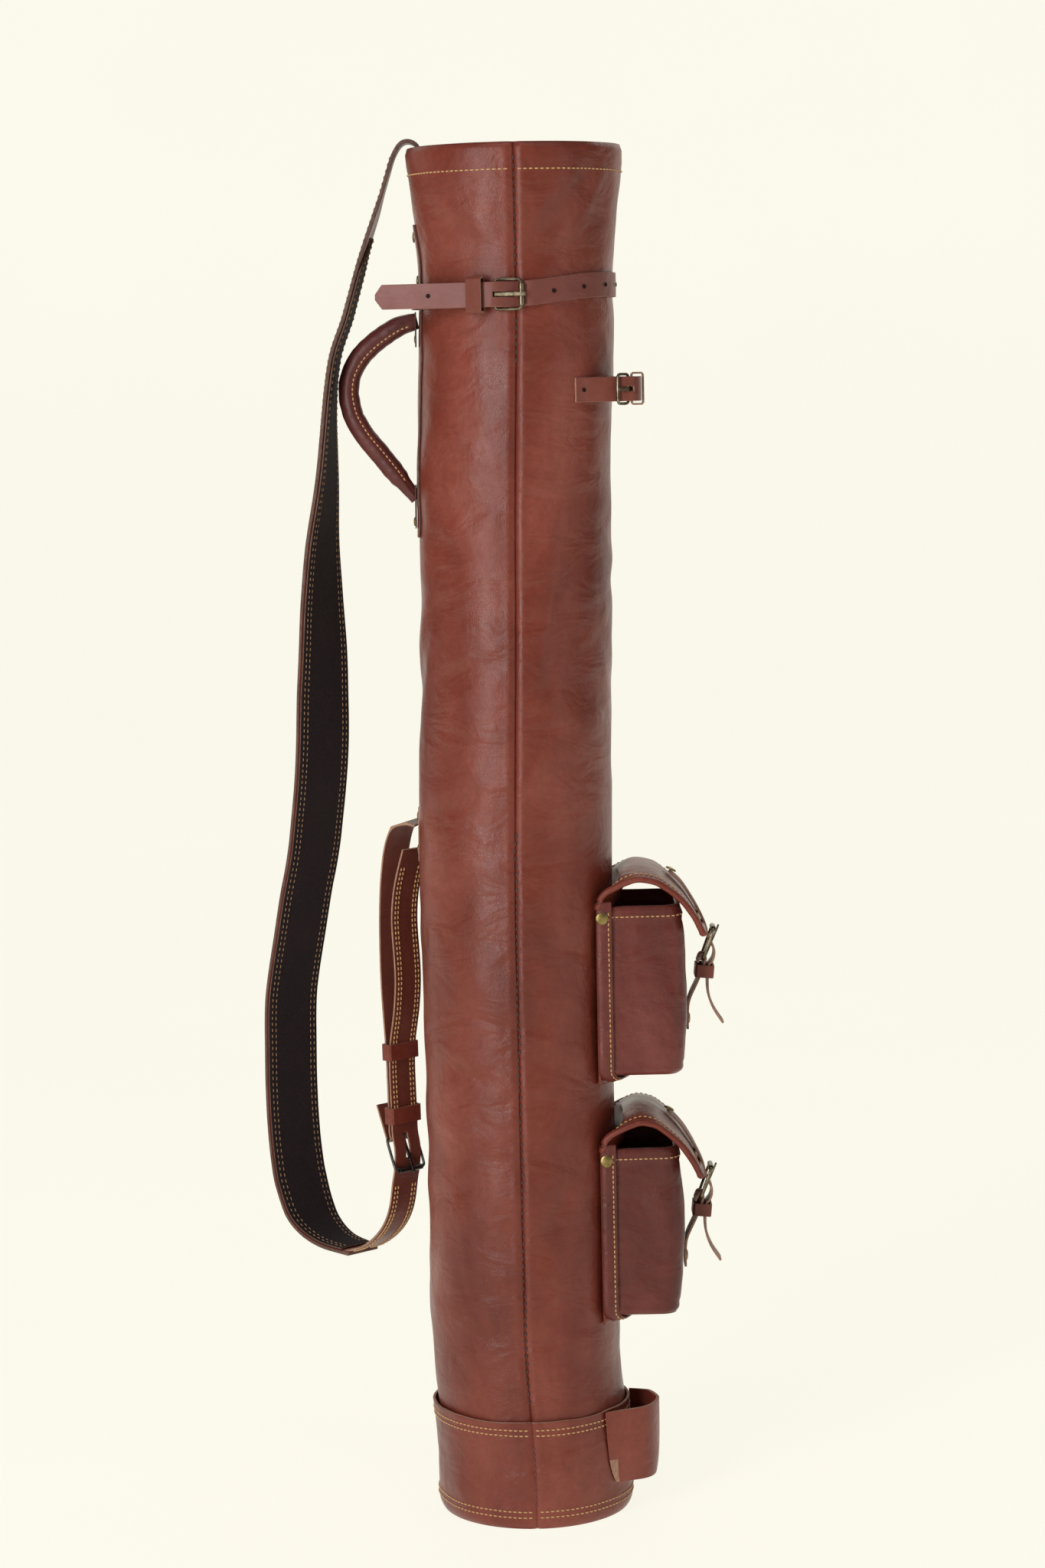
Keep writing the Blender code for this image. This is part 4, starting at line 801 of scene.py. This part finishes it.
# ---- Shoulder strap --------------------------------------------------------------------------
def make_shoulder_strap():
    turn = 132.0
    c, s = math.cos(math.radians(turn)), math.sin(math.radians(turn))

    def hang(out, z):
        return Vector((-0.0665 + c * out, 0.016 + s * out, z))

    upper = [(-0.0512, 0.0, 0.8430), (-0.0520, 0.0, 0.8640), (-0.0540, 0.0, 0.8830), (-0.0572, 0.0, 0.8912),
             (-0.0625, 0.0, 0.8942), (-0.0680, 0.0, 0.8925), (-0.0728, 0.0, 0.8850), (-0.0845, 0.0, 0.8490),
             (-0.0946, 0.0, 0.8200), (-0.1062, 0.0, 0.7814), (-0.1134, 0.0, 0.7620),
             (-0.1170, 0.0005, 0.7425), (-0.1190, 0.0030, 0.7220), (-0.1220, 0.0150, 0.6810),
             (-0.1267, 0.0290, 0.6380), (-0.1288, 0.0420, 0.5970), (-0.1303, 0.0580, 0.5500),
             (-0.1338, 0.0760, 0.4880)]
    loop = [(0.1120, 0.4310), (0.1216, 0.3992), (0.1311, 0.3664), (0.1400, 0.3335), (0.1445, 0.3050),
            (0.1448, 0.2577), (0.1435, 0.2220), (0.1380, 0.1937), (0.1290, 0.1735), (0.1170, 0.1625),
            (0.1000, 0.1562), (0.0800, 0.1545), (0.0722, 0.1541)]
    coarse = smooth([Vector(p) for p in upper] + [hang(*p) for p in loop], 0.0150)
    last = len(coarse) - 1
    turns, widths = [], []
    for i, p in enumerate(coarse):
        lean = 3 * ease(-0.885, -0.835, -p.z)
        turns.append(180 - (lean + (177 - turn) * ease(-0.76, -0.50, -p.z)) * (i > 8))
        widths.append(PAD_WIDTH * (1 - 0.45 * (1 - ease(4, 18, i)) - 0.40 * ease(last - 5, last, i)))
    steps = 4
    route = smooth(coarse, steps=steps)

    def ribbon(first, final, shift, trim, cup):
        grid = []
        for k in range(first * steps, final * steps + 1):
            i = k / steps
            t = math.radians(between(turns, i))
            across = Vector((math.sin(t), -math.cos(t), 0))
            along = (route[min(k + 1, len(route) - 1)] - route[max(k - 1, 0)]).normalized()
            out = along.cross(across).normalized()
            point = (1 - ease(first, first + 1.6, i)) * (trim > 0) * (first > 0)
            width = (between(widths, i) - trim) * (1 - 0.75 * point)
            wave = 0.0006 * soft(i * 0.02, 0.0, 0.0, 0.05, 2.0)
            row = []
            for m in range(-6, 7):
                u = m / 6
                row.append(route[k] + across * (u * width / 2 + wave) + out * (shift + cup * u * u))
            grid.append(row)
        return grid

    hung = ("bag", "shoulder_strap", (-0.075, 0, 0.880), (-0.135, 0, 0.800))
    sewn = ("bag", "shoulder_strap", hang(0.003, 0.455), hang(0.021, 0.440))
    pad = sheet("shoulder_pad", ribbon(0, last, 0.0, 0.0, 0.0), 0.0024, [STRAP, WORN], hung,
                bevel=0.0005, replaces=["strap_pad"], slot="strap_leather")
    inner = 0.0012 + 0.0008 + 0.0006
    lining_grid = ribbon(10, last - 1, inner, 0.0022, -0.0004)
    lining = sheet("shoulder_lining", lining_grid, 0.0012, [SUEDE, WORN], hung,
                   bevel=0.0003, replaces=["strap_lining"], slot="lining_leather")
    for name, piece, grid, edge in (
            ("lining_stitches", lining, ribbon(10, last - 1, inner + 0.0010, 0.0022, 0), 0.0026),
            ("pad_stitches", pad, ribbon(6, last, -0.0016, 0.0, 0.0), 0.0030)):
        rows = []
        for m, trim in ((0, edge), (0, edge + 0.0031), (12, edge), (12, edge + 0.0031)):
            rows.append([row[m] + (row[12 - m] - row[m]).normalized() * trim for row in grid])
        stitches(name, rows, surface(piece), BRONZE, hung, 0.0042, 0.58, 0.00036)

    tongue = softened("strap_tongue", [STRAP, EDGE], 0.0003, 2)
    chape = softened("strap_chape", [STRAP, EDGE], 0.0003, 2, body=sewn)
    across = Vector((s, -c, 0))
    low = smooth([hang(*p) for p in ((0.0720, 0.1560), (0.0640, 0.1585), (0.0520, 0.1650), (0.0400, 0.1745),
                                     (0.0310, 0.1870), (0.0272, 0.2000), (0.0258, 0.2100))], 0.002)
    high = smooth([hang(*p) for p in ((0.0244, 0.2500), (0.0248, 0.2620), (0.0254, 0.2800), (0.0256, 0.2946),
                                      (0.0240, 0.3080), (0.0200, 0.3230), (0.0170, 0.3470), (0.0180, 0.3680),
                                      (0.0195, 0.3885), (0.0165, 0.4090), (0.0110, 0.4250))], 0.002)
    rows = []
    for path in (low, high):
        for k in (-1, 1):
            for trim in (0.0024, 0.0048):
                rows.append([p + across * (k * (TONGUE_WIDTH / 2 - trim)) for p in path])
    tongue_tree = surface(tongue)
    for name, face in (("inner", 1), ("outer", -1)):
        stitches("tongue_stitches_" + name,
                 [[p + Vector((-c, -s, 0)) * (0.0009 * face) for p in r] for r in rows],
                 tongue_tree, GOLD, "shoulder_strap", 0.0034)
    legs = smooth([hang(*p) for p in (
        (0.0251, 0.4391), (0.0291, 0.4183), (0.0319, 0.3871), (0.0320, 0.3458),
        (0.0300, 0.3180), (0.0284, 0.3000), (0.0280, 0.2800), (0.0276, 0.2620))], 0.002)
    rows = [[p + across * (k * (TONGUE_WIDTH / 2 - trim)) + Vector((c, s, 0)) * 0.0009 for p in legs]
            for k in (-1, 1) for trim in (0.0024, 0.0048)]
    stitches("chape_stitches", rows, surface(chape), GOLD, sewn, 0.0034)
    softened("strap_keeper_lower", [BROWN, EDGE], 0.0002, 2, edge_below=0.0014)
    softened("strap_keeper_upper", [BROWN, EDGE], 0.0002, 2, edge_below=0.0014)
    for part in ("frame", "roller", "prong"):
        softened("strap_buckle_" + part, [GUNMETAL], 0.00018, 2)
    softened("strap_anchor_tab", [STRAP, EDGE], 0.0004, 2)
    softened("strap_top_tab", [STRAP, EDGE], 0.0004, 2)
    for z in (0.4590, 0.4370):
        rivet(f"anchor_rivet_{round(z * 1000)}", on_tube(167, z, 0.0024), outwards(on_tube(167, z, 0)),
              "bag", 0.0034)


# ---- Carry handle ----------------------------------------------------------------------------
def make_handle():
    coarse = smooth([(-0.0600, 0, 0.7808), (-0.0656, 0, 0.7795), (-0.0720, 0, 0.7775), (-0.0800, 0, 0.7730),
                     (-0.0890, 0, 0.7665), (-0.0975, 0, 0.7580), (-0.1035, 0, 0.7470), (-0.1052, 0, 0.7350),
                     (-0.1030, 0, 0.7225), (-0.0960, 0, 0.7090), (-0.0870, 0, 0.6975), (-0.0785, 0, 0.6865),
                     (-0.0705, 0, 0.6762), (-0.0632, 0, 0.6668)], 0.0085)
    last = len(coarse) - 1
    radii = [0.0052 + 0.00155 * min(1.0, i / 2.5) - 0.0028 * ease(last - 2.5, last, i)
             for i in range(last + 1)]
    steps = 7
    route = smooth(coarse, steps=steps)
    bm = bmesh.new()
    rings, ridge = [], []
    for k, p in enumerate(route):
        r = between(radii, k / steps) * 0.985
        along = (route[min(k + 1, len(route) - 1)] - route[max(k - 1, 0)]).normalized()
        across = Vector((0, 1, 0))
        out = along.cross(across).normalized()
        ring = []
        for m in range(32):
            t = 2 * math.pi * m / 32
            groove = 0.0006 * math.exp(-((math.degrees(t) - SEAM_AT) / 8) ** 2)
            crease = 0.00030 * soft(p.x * 1.5, math.sin(t) * 0.004, p.z * 1.5, 0.006, 2.2)
            ring.append(bm.verts.new(p + (out * math.cos(t) + across * math.sin(t)) * (r - groove + crease)))
        rings.append(ring)
        t = math.radians(SEAM_AT)
        ridge.append(p + (out * math.cos(t) + across * math.sin(t)) * r)
    for a, b in zip(rings, rings[1:]):
        for k in range(32):
            bm.faces.new([a[k], a[(k + 1) % 32], b[(k + 1) % 32], b[k]])
    bm.faces.new(rings[0])
    bm.faces.new(rings[-1])
    roll = finish_piece("handle_cover", bm, [MAROON], "carry_handle", ["handle_roll"], slot="brown_leather")
    stitches("handle_stitches", [ridge[7:-7]], surface(roll), GOLD, "carry_handle", 0.0031)
    backing = []
    for k in range(13):
        a = 180 + 11.4 * (k / 6 - 1)
        backing.append([on_tube(a, z, sag(a, z) + 0.0002 + BACKING / 2)
                        for z in (0.6425 + 0.1990 * j / 80 for j in range(81))])
    sheet("backing_strip", backing, BACKING, [BROWN, WORN], "bag", bevel=0.0003, replaces=["handle_backing"],
          slot="brown_leather")
    softened("handle_tab_upper", [MAROON, WORN], 0.0004, 2, shift=(0.0012, 0, 0), swell=(0.45, 0.9, 1.0))
    softened("handle_tab_lower", [MAROON, WORN], 0.0004, 2, shift=(0.0012, 0, 0), swell=(0.45, 0.9, 1.0))
    for z in (0.834, 0.806):
        rivet(f"backing_rivet_{round(z * 1000)}", on_tube(180, z, sag(180, z) + 0.0014), (-1, 0, 0),
              "bag", 0.0036)
    for z in (0.6525, 0.7690):
        for a in (175.2, 184.8):
            rivet(f"handle_rivet_{round(z * 1000)}_{round(a)}", on_tube(a, z, 0.0026),
                  outwards(on_tube(a, z, 0)), "bag", 0.0028)


# ---- Neck band, umbrella strap and sleeve ----------------------------------------------------
def make_straps():
    softened("band_strap", [PINK, EDGE], 0.0003, 2)
    softened("band_chape", [PINK, EDGE], 0.0003, 2)
    softened("band_keeper", [STRAP, EDGE], 0.0002, 2, edge_below=0.0014, swell=(0.82, 1.30, 1.20))
    softened("umbrella_strap", [STRAP, EDGE], 0.0003, 2)
    softened("umbrella_chape", [STRAP, EDGE], 0.0003, 2)
    softened("umbrella_keeper", [STRAP, EDGE], 0.0002, 2, edge_below=0.0014)
    for node in ("band_buckle_frame", "band_buckle_roller", "band_buckle_prong", "umbrella_buckle_frame",
                 "umbrella_buckle_prong"):
        softened(node, [BRASS], 0.00018, 2)
    softened("umbrella_sleeve", [BROWN, EDGE], 0.0005, 2, 0.0012, 0.0022)
    for a in (-68.5, -48.5, -28.5, -8.5):
        punched(f"band_hole_{round(-a)}", on_tube(a, BAND_Z + band_rise(a), 0.0025),
                outwards(on_tube(a, 0.6, 0)), "bag")
    punched("band_tail_hole", (-0.0515, -0.0583, BAND_Z), (-0.25, -1, 0), "bag")
    punched("umbrella_hole", on_tube(-49.0, 0.7350, 0.0030), outwards(on_tube(-49.0, 0.7350, 0)), "bag")
    for a in (62, 122, 205):
        rivet(f"band_rivet_{a}", on_tube(a, BAND_Z + band_rise(a), 0.0026), outwards(on_tube(a, 0.6, 0)),
              "bag", 0.0030)
    for z in (0.7300, 0.7400):
        rivet(f"umbrella_rivet_{round(z * 1000)}", on_tube(6, z, 0.0026), outwards(on_tube(6, z, 0)),
              "bag", 0.0028)


# ---- Stage, camera and light -----------------------------------------------------------------
def make_stage():
    bm = bmesh.new()
    profile = [(-5.0, 0.0), (3.4, 0.0)]
    for k in range(1, 13):
        t = math.radians(7.5 * k)
        profile.append((3.4 + 1.0 * math.sin(t), 1.0 - math.cos(t)))
    profile.append((4.4, 6.0))
    rows = [[bm.verts.new((x, y, z - 0.0002)) for x in (-6.0, 6.0)] for y, z in profile]
    for a, b in zip(rows, rows[1:]):
        bm.faces.new([a[0], a[1], b[1], b[0]])
    mesh = bpy.data.meshes.new("backdrop")
    bm.to_mesh(mesh)
    bm.free()
    n = Nodes("cream_paper")
    paper = n.noise(3.0, 2, 0.5)
    n.set(Base_Color=n.ramp(paper, [(0.3, (0.120, 0.117, 0.104)), (0.7, (0.130, 0.127, 0.114))]),
          Roughness=0.95, Emission_Color=(0.973, 0.956, 0.847, 1), Emission_Strength=0.925,
          Specular_IOR_Level=0.0)
    mesh.materials.append(n.material)
    mesh.shade_smooth()
    floor = bpy.data.objects.new("backdrop", mesh)
    bpy.context.scene.collection.objects.link(floor)

    scene = bpy.context.scene
    scene.view_settings.view_transform = "Standard"
    world = bpy.data.worlds.new("studio")
    scene.world = world
    world.use_nodes = True
    sky = world.node_tree.nodes["Background"]
    sky.inputs["Color"].default_value = (1.0, 0.985, 0.93, 1)
    sky.inputs["Strength"].default_value = 0.13

    def area(name, place, target, size, energy, tint=(1, 1, 1)):
        lamp = bpy.data.lights.new(name, "AREA")
        lamp.shape = "RECTANGLE"
        lamp.size, lamp.size_y = size
        lamp.energy = energy
        lamp.color = tint
        obj = bpy.data.objects.new(name, lamp)
        obj.location = place
        obj.rotation_euler = (Vector(target) - Vector(place)).to_track_quat("-Z", "Y").to_euler()
        scene.collection.objects.link(obj)

    area("softbox_left", (-1.15, -1.75, 0.95), (0, 0, 0.5), (0.55, 1.9), 31)
    area("softbox_right", (1.9, -1.3, 1.0), (0, 0, 0.5), (0.5, 1.8), 4.5)
    area("softbox_top", (0.1, -0.5, 2.6), (0, 0, 0.5), (1.6, 1.2), 8)
    area("softbox_back", (0.3, 1.6, 1.9), (0, 0, 0.5), (1.5, 0.8), 3)

    camera = bpy.data.cameras.new("camera")
    camera.lens = 82.76
    camera.sensor_width = 36.0
    camera.sensor_fit = "AUTO"
    view = bpy.data.objects.new("camera", camera)
    view.location = (0.00097, -2.33204, 0.756668)
    view.rotation_euler = (math.radians(83.239), 0, 0)
    scene.collection.objects.link(view)
    bpy.context.view_layer.update()
    view.rotation_euler = (view.matrix_world.to_3x3() @ roll_matrix(-0.022)).to_euler()
    scene.camera = view


def roll_matrix(angle):
    """Turn of the camera about its own line of sight."""
    return Matrix.Rotation(angle, 3, "Z")


make_tube()
for name, (drop, reach) in POCKETS.items():
    make_pocket(name, drop, reach)
make_shoulder_strap()
make_handle()
make_straps()
make_stage()
